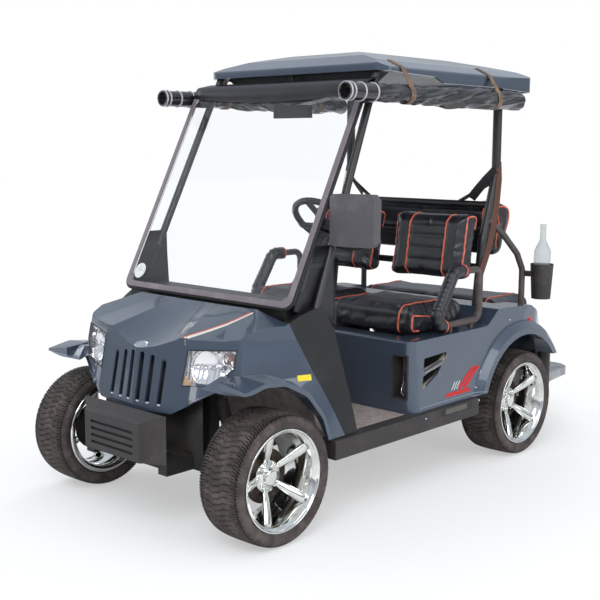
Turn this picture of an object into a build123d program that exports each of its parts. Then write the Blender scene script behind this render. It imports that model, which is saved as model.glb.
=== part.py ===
from build123d import *
import math
import os

os.makedirs("parts", exist_ok=True)

# Four-seat electric golf cart. Millimetres; +X forward, +Y to the driver's left, +Z up.
# x = 0 is halfway between the axles, y = 0 the centre line and z = 0 the floor.

# Driving sizes
WHEELBASE = 1647
WHEEL_Y = 528
TYRE_R = 250
TYRE_W = 214
RIM_W = 196
BEAD_R = 178
RIM_LIP_R = 195
SKIN = 8
BODY_Y = 602
FLOOR_Z = 340
RAIL_Z = 240
RAIL_H = 55
POD_X = 25
POD_Z = 652
DECK_Z = 716
ROOF_Z = 1872
ROOF_TRAY = ROOF_Z - 108
ROOF_Y = 525
KINGPIN_Y = 475
PIN_R = 10
SPINDLE_R = 15
RUN_FIT = 0.05

FRONT_X = WHEELBASE / 2
REAR_X = -WHEELBASE / 2
AXLE_Z = TYRE_R
SIDES = (("left", 1), ("right", -1))
CLEAR = 5
REST_GAP = 0.5
SEAT_GAP = 0.3


def box(x0, x1, y0, y1, z0, z1):
    return Pos((x0 + x1) / 2, (y0 + y1) / 2, (z0 + z1) / 2) * Box(x1 - x0, y1 - y0, z1 - z0)


def outline(plane, points, radius=0):
    """A face on the plane; each point is (a, b) or (a, b, corner radius)."""
    radii = [p[2] if len(p) > 2 else radius for p in points]
    flat = [(p[0], p[1]) for p in points]
    if any(radii):
        return make_face(plane * FilletPolyline(*flat, radius=radii, close=True))
    return make_face(plane * Polyline(*flat, close=True))


def side_prism(points, y0, y1, radius=0):
    """An (x, z) outline carried from y0 to y1."""
    plane = Plane(origin=(0, y1, 0), x_dir=(1, 0, 0), z_dir=(0, -1, 0))
    return extrude(outline(plane, points, radius), y1 - y0, dir=plane.z_dir)


def front_prism(points, x0, x1, radius=0):
    """A (y, z) outline carried from x0 to x1."""
    plane = Plane(origin=(x0, 0, 0), x_dir=(0, 1, 0), z_dir=(1, 0, 0))
    return extrude(outline(plane, points, radius), x1 - x0, dir=plane.z_dir)


def plan_prism(points, z0, z1, radius=0):
    """An (x, y) outline carried from z0 to z1."""
    return extrude(outline(Plane.XY.offset(z0), points, radius), z1 - z0, dir=(0, 0, 1))


def both_sides(shape):
    return [shape, mirror(shape, about=Plane.XZ)]


def symmetric(points):
    """A half outline from the front centre round the left, closed by its mirror image."""
    return points + [(p[0], -p[1], *p[2:]) for p in reversed(points) if p[1] > 0]


def upright(points):
    """A half (y, z) outline, closed by its mirror image."""
    return points + [(-p[0], *p[1:]) for p in reversed(points) if p[0] > 0]


def tube(points, radius, bend=60, hollow=0):
    """A round bar, or a pipe when hollow, along straight runs joined by arcs."""
    if len(points) == 2:
        path = Line(*points)
    else:
        path = FilletPolyline(*points, radius=bend)
    end = Plane(origin=path @ 0, z_dir=path % 0)
    bar = sweep(end * Circle(radius), path=path)
    if hollow:
        bar -= sweep(end * Circle(hollow), path=path)
    return bar


def rod(x, z, y0, y1, radius):
    """A round bar along Y."""
    return Pos(x, (y0 + y1) / 2, z) * Rot(90, 0, 0) * Cylinder(radius, abs(y1 - y0))


def post(x, y, z0, z1, radius):
    return Pos(x, y, (z0 + z1) / 2) * Cylinder(radius, z1 - z0)


def turned(points, x, y, z):
    """A (radius, offset) outline turned about the wheel axis; offset runs towards +Y."""
    plane = Plane(origin=(x, y, z), x_dir=(1, 0, 0), z_dir=(0, 0, 1))
    return revolve(outline(plane, points), Axis((x, y, z), (0, 1, 0)))


def save(shape, name):
    if isinstance(shape, (list, tuple)):
        shape = Compound(children=list(shape))
    export_step(shape, f"parts/{name}.step")


# ---- Front body: a skin between level outlines, cut by the hood, arches, lamps and slots

# z, nose centre x, nose corner x, y, lamp inner x, y, lamp outer x, y, shoulder x, y, door y
COWL_LEVELS = [
    (330, 1057, 1044, 227, 1042, 245, 972, 460, 930, 604, 604),
    (600, 1011, 984, 213, 981, 248, 915, 450, 895, 475, 594),
    (730, 989, 957, 207, 951, 251, 887, 447, 874, 456, 588),
    (880, 963, 926, 199, 917, 254, 856, 440, 840, 452, 590),
]
DOOR_X = 360
COWL_LOW = 345
COWL_WIDE = 700
# x, inner crease y, z, dip at the centre, outer crease y, z
HOOD = [(1110, 166, 693, 58, 393, 686), (955, 206, 745.5, 40, 431, 725.5), (690, 350, 842, 3, 496, 794),
        (560, 360, 858, 2, 520, 850), (DOOR_X - 100, 370, 868, 2, 560, 868)]
BELT = ((456, 338), (703, 864))
ARCH = [(1200, 584, 0), (1000, 586, 60), (897, 607, 60), (796, 597, 90), (680, 540, 120),
        (589, 436, 120), (552, 335, 0), (548, 200, 0), (1200, 200, 0)]
ARCH_INNER_Y = 292
LAMP = [(250, 705, 12), (247, 572, 14), (375, 584, 40), (447, 655, 30), (446, 720, 12)]
LAMP_DEPTH = 70
LAMP_X = (790, 1200)
SLOTS = [(28, 664), (82, 657), (144, 642)]
SLOT_FOOT = 492
SLOT_R = 12


def above_hood(inset):
    """The space over the hood: a middle panel that dips to the badge, and a slope down each side."""
    faces = []
    for x, y, z, dip, side_y, side_z in HOOD:
        left, right = (x, y, z - inset), (x, -y, z - inset)
        bowl = ThreePointArc(right, (x, 0, z - dip - inset), left)
        rest = Polyline(left, (x, side_y, side_z - inset), (x, COWL_WIDE, side_z - inset),
                        (x, COWL_WIDE, 1000),
                        (x, -COWL_WIDE, 1000), (x, -COWL_WIDE, side_z - inset),
                        (x, -side_y, side_z - inset), right)
        faces.append(make_face(Curve() + [bowl, rest]))
    return loft(faces, ruled=True)


def cowl_envelope(inset):
    faces = []
    for z, cx, nx, ny, ix, iy, ox, oy, sx, sy, dy in COWL_LEVELS:
        half = [(cx - inset, 0), (nx - inset, ny), (ix - inset, iy), (ox - inset, oy - inset),
                (sx - inset, sy - inset), (DOOR_X - 2 * inset, dy - inset)]
        faces.append(outline(Plane.XY.offset(z), symmetric(half)))
    return loft(faces, ruled=True) - above_hood(inset)


def front_cowl():
    shell = cowl_envelope(0) + flares_front()
    shell -= cowl_envelope(SKIN)
    # The painted skin ends on the slanted line where the black pillar cover begins.
    (x0, z0), (x1, z1) = BELT
    rear = [(x0 - 60, 200), (x0, z0), (x1, z1), (x1, 1000), (0, 1000), (0, 200)]
    shell -= side_prism(rear, -COWL_WIDE, COWL_WIDE)
    shell -= box(0, 1200, -COWL_WIDE, COWL_WIDE, 200, COWL_LOW)
    for side in both_sides(side_prism(ARCH, ARCH_INNER_Y, COWL_WIDE)):
        shell -= side
    chin = [(-COWL_WIDE, 200), (COWL_WIDE, 200), (COWL_WIDE, 594), (620, 594),
            (430, 582), (215, 463), (0, 452)]
    shell -= front_prism(chin + [(-y, z) for y, z in reversed(chin[2:6])], 900, 1200)
    shell -= box(600, 900, -ARCH_INNER_Y, ARCH_INNER_Y, 200, 463)
    for side in both_sides(front_prism(LAMP, *LAMP_X)):
        shell -= side
    for y, top in SLOTS:
        for side in (1, -1):
            shell -= slot_bar(side * y, SLOT_FOOT, top, SLOT_R, 900, 1200)
    return shell


def slot_bar(y, z0, z1, radius, x0, x1):
    mid = box(x0, x1, y - radius, y + radius, z0, z1)
    for z in (z0, z1):
        mid += Pos((x0 + x1) / 2, y, z) * Rot(0, 90, 0) * Cylinder(radius, x1 - x0)
    return mid


# Fender lips: level shelves beside the lamps, and bands that follow the arches down.
SHELF_LOW = [(1000, 250), (1010, 430), (1018, 560), (1014, 590), (996, 602),
             (820, 604), (820, 400), (900, 250)]
SHELF_TOP = [(975, 262), (945, 430), (925, 500), (915, 512), (900, 520), (820, 520), (820, 400), (900, 262)]
SHELF_Z = (585, 628)
BAND_ROOT = [(1000, 624, 0), (897, 632, 60), (790, 626, 90), (650, 590, 100), (560, 460, 100),
             (518, 345, 0), (600, 345, 0), (700, 480, 0), (1000, 500, 0)]
BAND_LIP = [(1000, 604, 0), (897, 624, 60), (796, 614, 90), (672, 556, 100), (576, 446, 100),
            (535, 345, 0), (600, 345, 0), (700, 480, 0), (1000, 500, 0)]
BAND_Y = (470, 604)


def flares_front():
    low = outline(Plane.XY.offset(SHELF_Z[0]), SHELF_LOW)
    top = outline(Plane.XY.offset(SHELF_Z[1]), SHELF_TOP)
    shelf = loft([low, top], ruled=True)
    faces = []
    for y, points in zip(BAND_Y, (BAND_ROOT, BAND_LIP)):
        plane = Plane(origin=(0, y, 0), x_dir=(-1, 0, 0), z_dir=(0, 1, 0))
        faces.append(outline(plane, [(-x, z, r) for x, z, r in points]))
    return both_sides(shelf + loft(faces, ruled=True))


def headlamps():
    lamps = []
    for side in both_sides(front_prism(LAMP, *LAMP_X)):
        lamps.append((cowl_envelope(0) & side) - cowl_envelope(LAMP_DEPTH))
    return lamps


# ---- Front pillars, windshield, dash and floor

PILLAR_DEPTH = 34
STRUT_FOOT = (548, 522, 835)
STRUT_HEAD = (120, 462, ROOF_TRAY)
STRUT_SEAT = 850
CLIP_Z = (1010, ROOF_Z - 232)
STRUT_R = 16
GLASS_FOOT = (660, 850)
GLASS_HEAD = (222, ROOF_Z - 166)
GLASS_Y = 500
GLASS_T = 6


def pillar_covers():
    """Black covers that carry the body's side on from the painted skin to the door opening."""
    (x0, z0), (x1, z1) = BELT
    skin = cowl_envelope(0) - cowl_envelope(PILLAR_DEPTH)
    covers = []
    for side in both_sides(side_prism([(x0, z0), (x1, z1), (640, 880), (548, 880),
                                       (476, 760), (383, 338)], 400, 700)):
        covers.append(skin & side & box(0, 1200, -700, 700, COWL_LOW, 1000)
                      - box(0, 1200, -DASH_Y, DASH_Y, 200, 1000))
    return covers


def strut_tube(s):
    (xf, yf, zf), (xh, yh, zh) = STRUT_FOOT, STRUT_HEAD
    foot, head = Vector(xf, s * yf, zf), Vector(xh, s * yh, zh)
    return tube([foot, head + (head - foot) * 0.05], STRUT_R)


def strut_at(z):
    """The left strut's centre at a height."""
    (xf, yf, zf), (xh, yh, zh) = STRUT_FOOT, STRUT_HEAD
    share = (z - zf) / (zh - zf)
    return xf + (xh - xf) * share, yf + (yh - yf) * share


def front_struts():
    """Black tubes from the pillar covers to the roof, with clips forward to the windshield frame."""
    (gx, gz), (hx, hz) = GLASS_FOOT, GLASS_HEAD
    tubes = []
    for s in (1, -1):
        strut = strut_tube(s) - box(0, 400, -600, 600, ROOF_TRAY, ROOF_TRAY + 200)
        for z in CLIP_Z:
            x, y = strut_at(z)
            glass_x = gx + (hx - gx) * (z - gz) / (hz - gz)
            strut += box(x, glass_x + 20, min(s * 480, s * (y - 2)), max(s * 480, s * (y - 2)), z - 9, z + 9)
        strut -= windshield(0, 200, -100)
        tubes.append(strut - cowl_envelope(0) - box(0, 1200, -COWL_WIDE, COWL_WIDE, 0, STRUT_SEAT))
    return tubes


def windshield(t0, t1, edge):
    """A slab between two offsets normal to the sloping glass, inset by edge all round."""
    (xf, zf), (xh, zh) = GLASS_FOOT, GLASS_HEAD
    run = math.hypot(xh - xf, zh - zf)
    plane = Plane(origin=(xf, 0, zf), x_dir=(0, 1, 0), z_dir=((zh - zf) / run, 0, (xf - xh) / run))
    w = GLASS_Y - edge
    face = outline(plane, [(-w, edge), (w, edge), (w, run - edge), (-w, run - edge)], 40)
    return extrude(face, t1) - extrude(face, t0) if t0 else extrude(face, t1)


def windshield_frame():
    ring = windshield(0, 14, 0) - windshield(0, 14, 26)
    return ring


DASH = [(655, 690), (655, 852), (600, 862), (470, 858), (440, 830), (446, 730), (500, 690)]
DASH_Y = 470


def dash_panel():
    body = side_prism(DASH, -DASH_Y, DASH_Y, 12)
    for y in (-255, 255):
        body -= box(380, 560, y - 150, y + 150, 735, 815)
    return body - steering_shaft(24)


TOE = [(0, 320), (478, 320), (520, 350), (600, 560), (655, 690), (632, 690), (580, 565), (505, 366),
       (472, FLOOR_Z), (0, FLOOR_Z)]
TOE_Y = 496


def floor_pan():
    pan = side_prism(TOE, -TOE_Y, TOE_Y)
    return pan + box(0, 470, -560, 560, 320, FLOOR_Z)


def rockers():
    bar = box(-450, 535, 560, 622, 262, FLOOR_Z)
    return both_sides(bar)


def pedals():
    """Brake and accelerator: plates on arms that hang from under the dash."""
    out = []
    for y, w in ((150, 70), (275, 55)):
        plate = side_prism([(455, 392), (466, 390), (500, 478), (489, 480)], y - w / 2, y + w / 2)
        arm = side_prism([(482, 440), (495, 436), (585, 690), (568, 690)], y - 7, y + 7)
        out.append(plate + arm)
    return out


WHEEL_TOP = (180, 270, 1135)
WHEEL_FOOT = (510, 270, 740)
STEER_R = 176
STEER_RIM = 14
SHAFT_R = 9
SHAFT_DEEP = 50


def steer_axis():
    return Vector(*WHEEL_TOP) - Vector(*WHEEL_FOOT)


def steering_wheel():
    plane = Plane(origin=WHEEL_TOP, x_dir=(0, 1, 0), z_dir=steer_axis().normalized())
    grip = Plane(origin=WHEEL_TOP, x_dir=(0, 1, 0), z_dir=plane.x_dir.cross(plane.z_dir))
    section = grip * Pos(STEER_R - STEER_RIM, 0) * RegularPolygon(STEER_RIM, 8)
    wheel = revolve(section, Axis(WHEEL_TOP, plane.z_dir))
    wheel += plane * Pos(0, 0, -25) * Cylinder(48, 50)
    for angle in (0, 180, 270):
        spoke = Rot(0, 0, angle) * Pos((STEER_R - STEER_RIM) / 2, 0, -12) * Box(STEER_R - STEER_RIM, 26, 12)
        wheel += plane * spoke
    wheel += plane * Pos(0, 0, -50 - SHAFT_DEEP / 2) * Cylinder(SHAFT_R, SHAFT_DEEP)
    return wheel


def steering_column():
    bore = steering_shaft(SHAFT_R + RUN_FIT, SHAFT_DEEP + CLEAR)
    return steering_shaft(24) + steering_shaft(38, 90) - bore


def steering_shaft(radius, length=0):
    """A round bar down the steering axis, from CLEAR under the wheel's hub."""
    axis = steer_axis().normalized()
    top = Vector(*WHEEL_TOP) - axis * (50 + CLEAR)
    length = length or (top - Vector(*WHEEL_FOOT)).length
    plane = Plane(origin=top, z_dir=-axis)
    return plane * Pos(0, 0, length / 2) * Cylinder(radius, length)


# ---- Bumper, chassis, axles and steering gear

BUMPER = [(1066, 282, 470, 250), (1112, 286, 448, 178), (1131, 288, 437, 168)]
BUMPER_GROOVES = (318, 345, 372, 399)


def front_bumper():
    faces = []
    for x, z0, z1, w in BUMPER:
        plane = Plane(origin=(x, 0, 0), x_dir=(0, 1, 0), z_dir=(1, 0, 0))
        faces.append(outline(plane, [(-w, z0), (w, z0), (w, z1), (-w, z1)]))
    body = loft(faces, ruled=True)
    for z in BUMPER_GROOVES:
        body -= box(1122, 1140, -130, 130, z - 5, z + 5)
    return body


RAIL_Y = (200, 250)
REAR_RAIL_Z = 330
OUTRIGGERS = (445, 240, 60, -150, -420)
TOWER_X = 824


def chassis_frame():
    y0, y1 = RAIL_Y
    top = RAIL_Z + RAIL_H
    frame = None
    for s in (1, -1):
        a, b = sorted((s * y0, s * y1))
        rail = box(-600, 1066, a, b, RAIL_Z, top) + box(-650, -600, a, b, RAIL_Z, REAR_RAIL_Z + RAIL_H)
        rail += box(-1205, -600, a, b, REAR_RAIL_Z, REAR_RAIL_Z + RAIL_H)
        # The shock tower stands on the rail over the front axle.
        rail += box(TOWER_X - 25, TOWER_X + 25, a, b, top, 560)
        frame = rail if frame is None else frame + rail
    for x in OUTRIGGERS:
        frame += box(x - 18, x + 18, -560, 560, top, 320)
        frame += box(x - 18, x + 18, -y0, y0, top - 20, top)
    for x in (1000, -900, -1150):
        z = RAIL_Z if x > 0 else REAR_RAIL_Z
        frame += box(x - 20, x + 20, -y0, y0, z, z + RAIL_H)
    frame += box(TOWER_X - 20, TOWER_X + 20, -y0, y0, 530, 560)
    for s in (1, -1):
        a, b = sorted((s * y0, s * y1))
        frame += box(REAR_X - 20, REAR_X + 20, a, b, REAR_RAIL_Z + RAIL_H, 565)
        frame += box(REAR_X - 20, REAR_X + 20, min(s * y0, s * 366), max(s * y0, s * 366), 545, 565)
    return frame


def battery_pack():
    return box(-480, -80, -400, 400, 320, 560)


SLEEVE = (205, 295)
SLEEVE_R = 22


def front_axle():
    beam = box(FRONT_X - 28, FRONT_X + 28, -445, 445, SLEEVE[0], RAIL_Z)
    for s in (1, -1):
        beam += box(FRONT_X - 14, FRONT_X + 14, min(s * 440, s * 460), max(s * 440, s * 460),
                    SLEEVE[0], SLEEVE[1])
        beam += post(FRONT_X, s * KINGPIN_Y, *SLEEVE, SLEEVE_R)
        beam -= post(FRONT_X, s * KINGPIN_Y, 190, 310, PIN_R + RUN_FIT)
    return beam


def shock(x0, y0, z0, x1, y1, z1, radius):
    """A coil-over damper: rod, body and spring as one stepped bar."""
    foot, head = Vector(x0, y0, z0), Vector(x1, y1, z1)
    plane = Plane(origin=foot, z_dir=(head - foot).normalized())
    length = (head - foot).length
    bar = plane * Pos(0, 0, length / 2) * Cylinder(radius * 0.45, length)
    bar += plane * Pos(0, 0, length * 0.55) * Cylinder(radius, length * 0.62)
    return bar


def front_shocks():
    return [shock(FRONT_X, s * 390, RAIL_Z - 12, FRONT_X, s * 272, 545, 24) + box(
        FRONT_X - 12, FRONT_X + 12, min(s * 250, s * 276), max(s * 250, s * 276), 520, 555)
        - box(700, 950, -500, 500, 200, RAIL_Z) for s in (1, -1)]


ARM = 95
TIE_R = 8
SPINDLE_END = 548
BRAKE_Y = (522, 530)
TIE_Z = SLEEVE[0] - CLEAR - 12 - CLEAR


def knuckle(s):
    x, y = FRONT_X, s * KINGPIN_Y
    low, high = SLEEVE[0] - CLEAR, SLEEVE[1] + CLEAR
    body = post(x, y, low - 12, high + 12, PIN_R)
    web = (s * 504, s * 516)
    for z0, z1 in ((low - 12, low), (high, high + 12)):
        body += post(x, y, z0, z1, 22)
        body += box(x - 22, x + 22, min(y, web[1]), max(y, web[1]), z0, z1)
    body += box(x - 34, x + 34, min(web), max(web), low - 12, high + 12)
    body += rod(x, AXLE_Z, web[1], s * (BRAKE_Y[0] - 2), 100)
    body += rod(x, AXLE_Z, web[0], s * SPINDLE_END, SPINDLE_R - RUN_FIT)
    # The steering arm reaches back to the tie rod.
    body += box(x - ARM, x, min(y, y - s * 16), max(y, y - s * 16), low - 12, low)
    body += post(x - ARM, y - s * 8, low - 12, low, 14)
    return body


def tie_rod():
    bar = rod(FRONT_X - ARM, TIE_Z - 10, -KINGPIN_Y + 8, KINGPIN_Y - 8, TIE_R)
    for s in (1, -1):
        bar += post(FRONT_X - ARM, s * (KINGPIN_Y - 8), TIE_Z - 20, TIE_Z, 14)
    return bar


def steering_box():
    """The rack's housing under the floor, bored for the sliding rod."""
    x, z = FRONT_X - ARM, TIE_Z - 10
    body = box(x - 22, x + 22, -150, 150, z - 22, RAIL_Z - 30)
    body += box(x - 30, x + 30, -RAIL_Y[1], RAIL_Y[1], RAIL_Z - 30, RAIL_Z)
    return body - rod(x, z, -160, 160, TIE_R + RUN_FIT)


def rear_axle():
    body = rod(REAR_X, AXLE_Z, -470, 470, 32)
    body += rod(REAR_X, AXLE_Z, -130, 70, 95)
    body += Pos(REAR_X + 150, -30, AXLE_Z) * Rot(0, 90, 0) * Cylinder(80, 240)
    for s in (1, -1):
        body += rod(REAR_X, AXLE_Z, s * 470, s * (BRAKE_Y[0] - 2), 100)
        body += rod(REAR_X, AXLE_Z, s * 500, s * SPINDLE_END, SPINDLE_R - RUN_FIT)
        body += box(REAR_X - 40, REAR_X + 40, min(s * 262, s * 318), max(s * 262, s * 318),
                    AXLE_Z + 20, AXLE_Z + 44)
    return body


def leaf_springs():
    """Leaf packs over the axle, hung from the rails by outboard eyes."""
    packs = []
    for s in (1, -1):
        a, b = sorted((s * 268, s * 312))
        leaf = side_prism([(REAR_X - 300, 312), (REAR_X, AXLE_Z + 44),
                           (REAR_X + 200, 300), (REAR_X + 200, 318),
                           (REAR_X, AXLE_Z + 66), (REAR_X - 300, 330)], a, b)
        packs.append(leaf)
    return packs


def rear_shocks():
    return [shock(REAR_X, s * 348, AXLE_Z, REAR_X, s * 348, 545, 20) - rod(REAR_X, AXLE_Z, -470, 470, 32)
            for s in (1, -1)]


# ---- Wheels: low tyres on deep five-spoke rims

# offset from the middle plane, radius to the flats
TYRE_OUTSIDE = [(TYRE_W / 2, TYRE_R - 28), (98, TYRE_R - 8), (64, TYRE_R)]
TYRE_RECESS = [(90, RIM_LIP_R + 1), (TYRE_W / 2, TYRE_R - 32)]
TYRE_SIDES = 48
SPOKES = 5
SPOKE_TURN = -2
SPOKE_FLAT = 0.6
# distance from the axis, offset of the middle, half width, half depth
SPOKE = [(36, 8, 13, 7), (78, 24, 16, 12), (138, 53, 20, 13), (174, 72, 17, 8)]
# offset of each disc's inner and outer face, radius: drum, hub, cap
HUB = [(-2, 5, 102), (5, 16, 62), (16, 36, 31)]


def ring_loft(rows, x, y):
    """A solid through many-sided sections about the wheel axis; rows hold offset and radius to the flats."""
    faces = []
    for offset, radius in rows:
        plane = Plane(origin=(x, y + offset, AXLE_Z), x_dir=(1, 0, 0), z_dir=(0, -1, 0))
        flats = Rot(0, 0, 180 / TYRE_SIDES) * RegularPolygon(radius, TYRE_SIDES, major_radius=False)
        faces.append(plane * flats)
    return loft(faces, ruled=True)


def tyre(x, s):
    """A low tyre in flats, so that it stands on one; its bead hugs the rim."""
    y = s * WHEEL_Y
    solid = ring_loft(TYRE_OUTSIDE + [(-w, r) for w, r in reversed(TYRE_OUTSIDE)], x, y)
    bore = BEAD_R + SEAT_GAP
    solid -= ring_loft([(-TYRE_W, bore), (TYRE_W, bore)], x, y)
    for side in (1, -1):
        solid -= ring_loft([(side * w, r) for w, r in TYRE_RECESS], x, y)
    return solid


def rim(x, s):
    """Barrel, flanges, drum, hub and spokes; offsets run outward from the wheel's middle plane."""
    w = RIM_W / 2
    barrel = [(BEAD_R, 90), (RIM_LIP_R, 90), (RIM_LIP_R, w), (RIM_LIP_R - 6, w),
              (BEAD_R - 7, 84), (BEAD_R - 22, -20),
              (BEAD_R - 10, -w), (RIM_LIP_R, -w), (RIM_LIP_R, -90), (BEAD_R, -90)]
    y = s * WHEEL_Y
    parts = turned([(r, s * o) for r, o in barrel], x, y, AXLE_Z)
    for near, far, radius in HUB:
        parts += rod(x, AXLE_Z, y + s * near, y + s * far, radius)
    sections = []
    for reach, offset, wide, deep in SPOKE:
        ring = [(offset, wide), (offset + deep, wide * SPOKE_FLAT), (offset + deep, -wide * SPOKE_FLAT),
                (offset, -wide), (offset - deep, -wide * SPOKE_FLAT), (offset - deep, wide * SPOKE_FLAT)]
        sections.append(make_face(Polyline(*[(reach, s * o, z) for o, z in ring], close=True)))
    spoke = loft(sections, ruled=True)
    for k in range(SPOKES):
        parts += Pos(x, y, AXLE_Z) * Rot(0, SPOKE_TURN + k * 360 / SPOKES, 0) * spoke
    return parts - rod(x, AXLE_Z, y - s * 10, s * SPINDLE_END + s * CLEAR, SPINDLE_R)


# ---- Rear body: one hollow moulding from the seat pod to the tail

BODY_SIDE = [(POD_X, FLOOR_Z, 0), (POD_X, POD_Z, 14), (-548, POD_Z, 60), (-640, DECK_Z + 6, 40),
             (-930, DECK_Z - 6, 80), (-1010, 672, 60), (-1160, 560, 90),
             (-1212, 430, 30), (-1206, FLOOR_Z, 0)]
BODY_PLAN = [(POD_X, 0, 0), (POD_X, BODY_Y, 62), (-760, BODY_Y, 400), (-1000, 580, 200), (-1212, 482, 70)]
BODY_FRONT = [(BODY_Y, FLOOR_Z, 0), (BODY_Y - 12, DECK_Z + 40, 0)]
ARCH_R = 332
ARCH_DEEP = 392
FLARE_RING = [(300, 440), (398, 440), (404, 572), (392, 603), (362, 628), (300, 632)]
SEAT_WELL = (-805, 455, 600)
BAY = (-500, -75, 470)


def body_envelope(inset):
    side = offset_outline(BODY_SIDE, inset, low=FLOOR_Z - (20 if inset else 0))
    body = side_prism(side, -700, 700)
    plan = [(p[0] - math.copysign(inset, p[0] + 600), max(p[1] - inset, 0),
             max(p[2] - inset, 0) if len(p) > 2 else 0)
            for p in BODY_PLAN]
    body &= plan_prism(symmetric(plan), 200, 900)
    (y0, z0, _), (y1, z1, _) = BODY_FRONT
    return body & front_prism([(-y0 + inset, 300), (y0 - inset, 300),
                               (y1 - inset, z1), (-y1 + inset, z1)], -1400, 200)


def offset_outline(points, inset, low):
    """Moves a side outline in by inset: fronts back, tails forward and tops down."""
    moved = []
    for x, z, r in points:
        shift = inset if x < -900 else (-inset if x > 0 else 0)
        moved.append((x + shift, low if z <= FLOOR_Z else z - inset, r))
    return moved


def seat_well(grow):
    x, y, z = SEAT_WELL
    return box(-1400, x + grow, -y - grow, y + grow, z - grow, 900)


LOUVRES = [(-62, 572, -232, 580, -204, 548, -56, 514), (-54, 496, -196, 538, -160, 492, -46, 436)]


def rear_body():
    ring = turned(FLARE_RING, REAR_X, 0, AXLE_Z)
    ring &= box(-1400, 0, -700, 700, 352, 700)
    ring -= box(-1400, REAR_X, -700, 700, 300, 452)
    body = body_envelope(0)
    for side in both_sides(ring):
        body += side
    body -= seat_well(0)
    body -= body_envelope(SKIN) - seat_well(SKIN)
    for side in both_sides(rod(REAR_X, AXLE_Z, ARCH_DEEP, 700, ARCH_R)):
        body -= side
    for s in (1, -1):
        body -= box(-1300, -1150, min(s * 195, s * 255), max(s * 195, s * 255), 300, 392)
        body -= lamp_box(s)
    x0, x1, y = BAY
    body -= box(x0, x1, -y, y, 600, 700)
    body -= recess(0)
    for side in (1, -1):
        for lv in LOUVRES:
            pts = [(lv[i], lv[i + 1], 6) for i in range(0, 8, 2)]
            a, b = sorted((side * 560, side * 640))
            body -= side_prism(pts, a, b)
    return body


def lamp_box(s):
    return box(-1300, -1090, min(s * 470, s * 570), max(s * 470, s * 570), 512, 562)


def recess(inset):
    return box(POD_X - 90, POD_X + 20, 486 + inset, 572 - inset, 400 + inset, 592 - inset)


def recess_box():
    """The small open locker let into the pod's front, with its latch post."""
    shell = box(POD_X - 90, POD_X, 486, 572, 400, 592) - box(POD_X - 84, POD_X + 9, 492, 566, 406, 586)
    return shell + post(POD_X - 40, 529, 406, 586, 9)


# ---- Rear bumper, foot platform and lamps

def rear_bumper():
    plan = [(-1213, 0), (-1213, 430), (-1150, 520, 20), (-1175, 560, 20),
            (-1255, 520, 60), (-1298, 420, 60), (-1302, 0)]
    bar = plan_prism(symmetric([p if len(p) > 2 else (*p, 0) for p in plan]), 262, 458)
    bar -= body_envelope(0) + BODY
    return bar - box(-1310, -1200, -270, 270, 250, 400)


PLATFORM = [(-1304, 460, 20), (-1610, 420, 40), (-1652, 360, 40)]
PLATFORM_Z = (236, 280)


def foot_platform():
    top = plan_prism(symmetric(PLATFORM), PLATFORM_Z[1] - 6, PLATFORM_Z[1])
    skirt = plan_prism(symmetric(PLATFORM), PLATFORM_Z[0], PLATFORM_Z[1] - 6)
    inner = [(-1310, 452, 14), (-1604, 413, 34), (-1644, 355, 34)]
    skirt -= plan_prism(symmetric(inner), 200, PLATFORM_Z[1] - 6)
    for arm in platform_arms():
        skirt -= arm
    return top + skirt


def platform_arms():
    arms = []
    for s in (1, -1):
        a, b = sorted((s * RAIL_Y[0], s * RAIL_Y[1]))
        arm = box(-1600, -1304, a, b, 250, PLATFORM_Z[1] - 6)
        arm += box(-1304, -1205, a, b, 256, PLATFORM_Z[1] - 6)
        arm += box(-1245, -1205, a, b, 256, REAR_RAIL_Z + RAIL_H)
        arms.append(arm)
    return arms


def tail_lamps():
    return [(body_envelope(0) - body_envelope(26)) & lamp_box(s) for s in (1, -1)]


# ---- Seats and restraints

def front_cushions():
    return [plan_prism([(-78, s * 22), (-78, s * 515), (-495, s * 515),
                        (-495, s * 22)], POD_Z + REST_GAP, 775, 34)
            for s in (1, -1)]


def front_backs():
    side = [(-474, 840), (-526, 1172), (-610, 1160), (-600, 1010), (-560, 840)]
    return [side_prism(side, min(s * 45, s * 492), max(s * 45, s * 492), 22) for s in (1, -1)]


def rear_cushion():
    return plan_prism([(-850, 440), (-850, -440), (-1195, -440), (-1195, 440)], SEAT_WELL[2], 720, 34)


def rear_back():
    side = [(-826, 932), (-800, 1200), (-880, 1215), (-985, 1165), (-1012, 1105), (-925, 1010), (-905, 932)]
    return side_prism(side, -450, 450, 22)


REAR_STRUT = [(-655, 450, 662), (-700, 450, 1020), (-800, 450, 1330), (-800, 450, ROOF_TRAY + 16)]
REAR_STRUT_R = 21
CROSSBARS = ((-683, 900), (-716, 1070), (-756, 1190))


def rear_struts():
    frame = None
    for s in (1, -1):
        leg = tube([(x, s * y, z) for x, y, z in REAR_STRUT], REAR_STRUT_R, 120)
        frame = leg if frame is None else frame + leg
    for x, z in CROSSBARS:
        frame += rod(x, z, -450, 450, 16)
    for s in (1, -1):
        frame += tube([(-790, s * 445, 1300), (-756, s * 260, 1192)], 9)
        for y in (160, 380):
            for x, z in CROSSBARS[:2]:
                frame += box(x, -590, s * y - 10, s * y + 10, z - 7, z + 7)
            for x, z in CROSSBARS[1:]:
                frame += box(-840, x, s * y - 10, s * y + 10, z - 7, z + 7)
    for piece in front_backs() + [rear_back()]:
        frame -= piece
    return frame - body_envelope(0) - box(-900, -700, -600, 600, ROOF_TRAY, ROOF_TRAY + 200)


# x, z along a hip restraint's loop, then its bend, bar radius and middle plane
LOOP = [(-165, 684), (-320, 915), (-525, 915), (-525, 684)]
LOOP_BEND = 45
LOOP_R = 16
LOOP_Y = 556
LOOP_FEET = (-300, -460)
PAD = [(-252, 684), (-165, 684), (-320, 915), (-395, 915)]
PAD_R = 30


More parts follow.
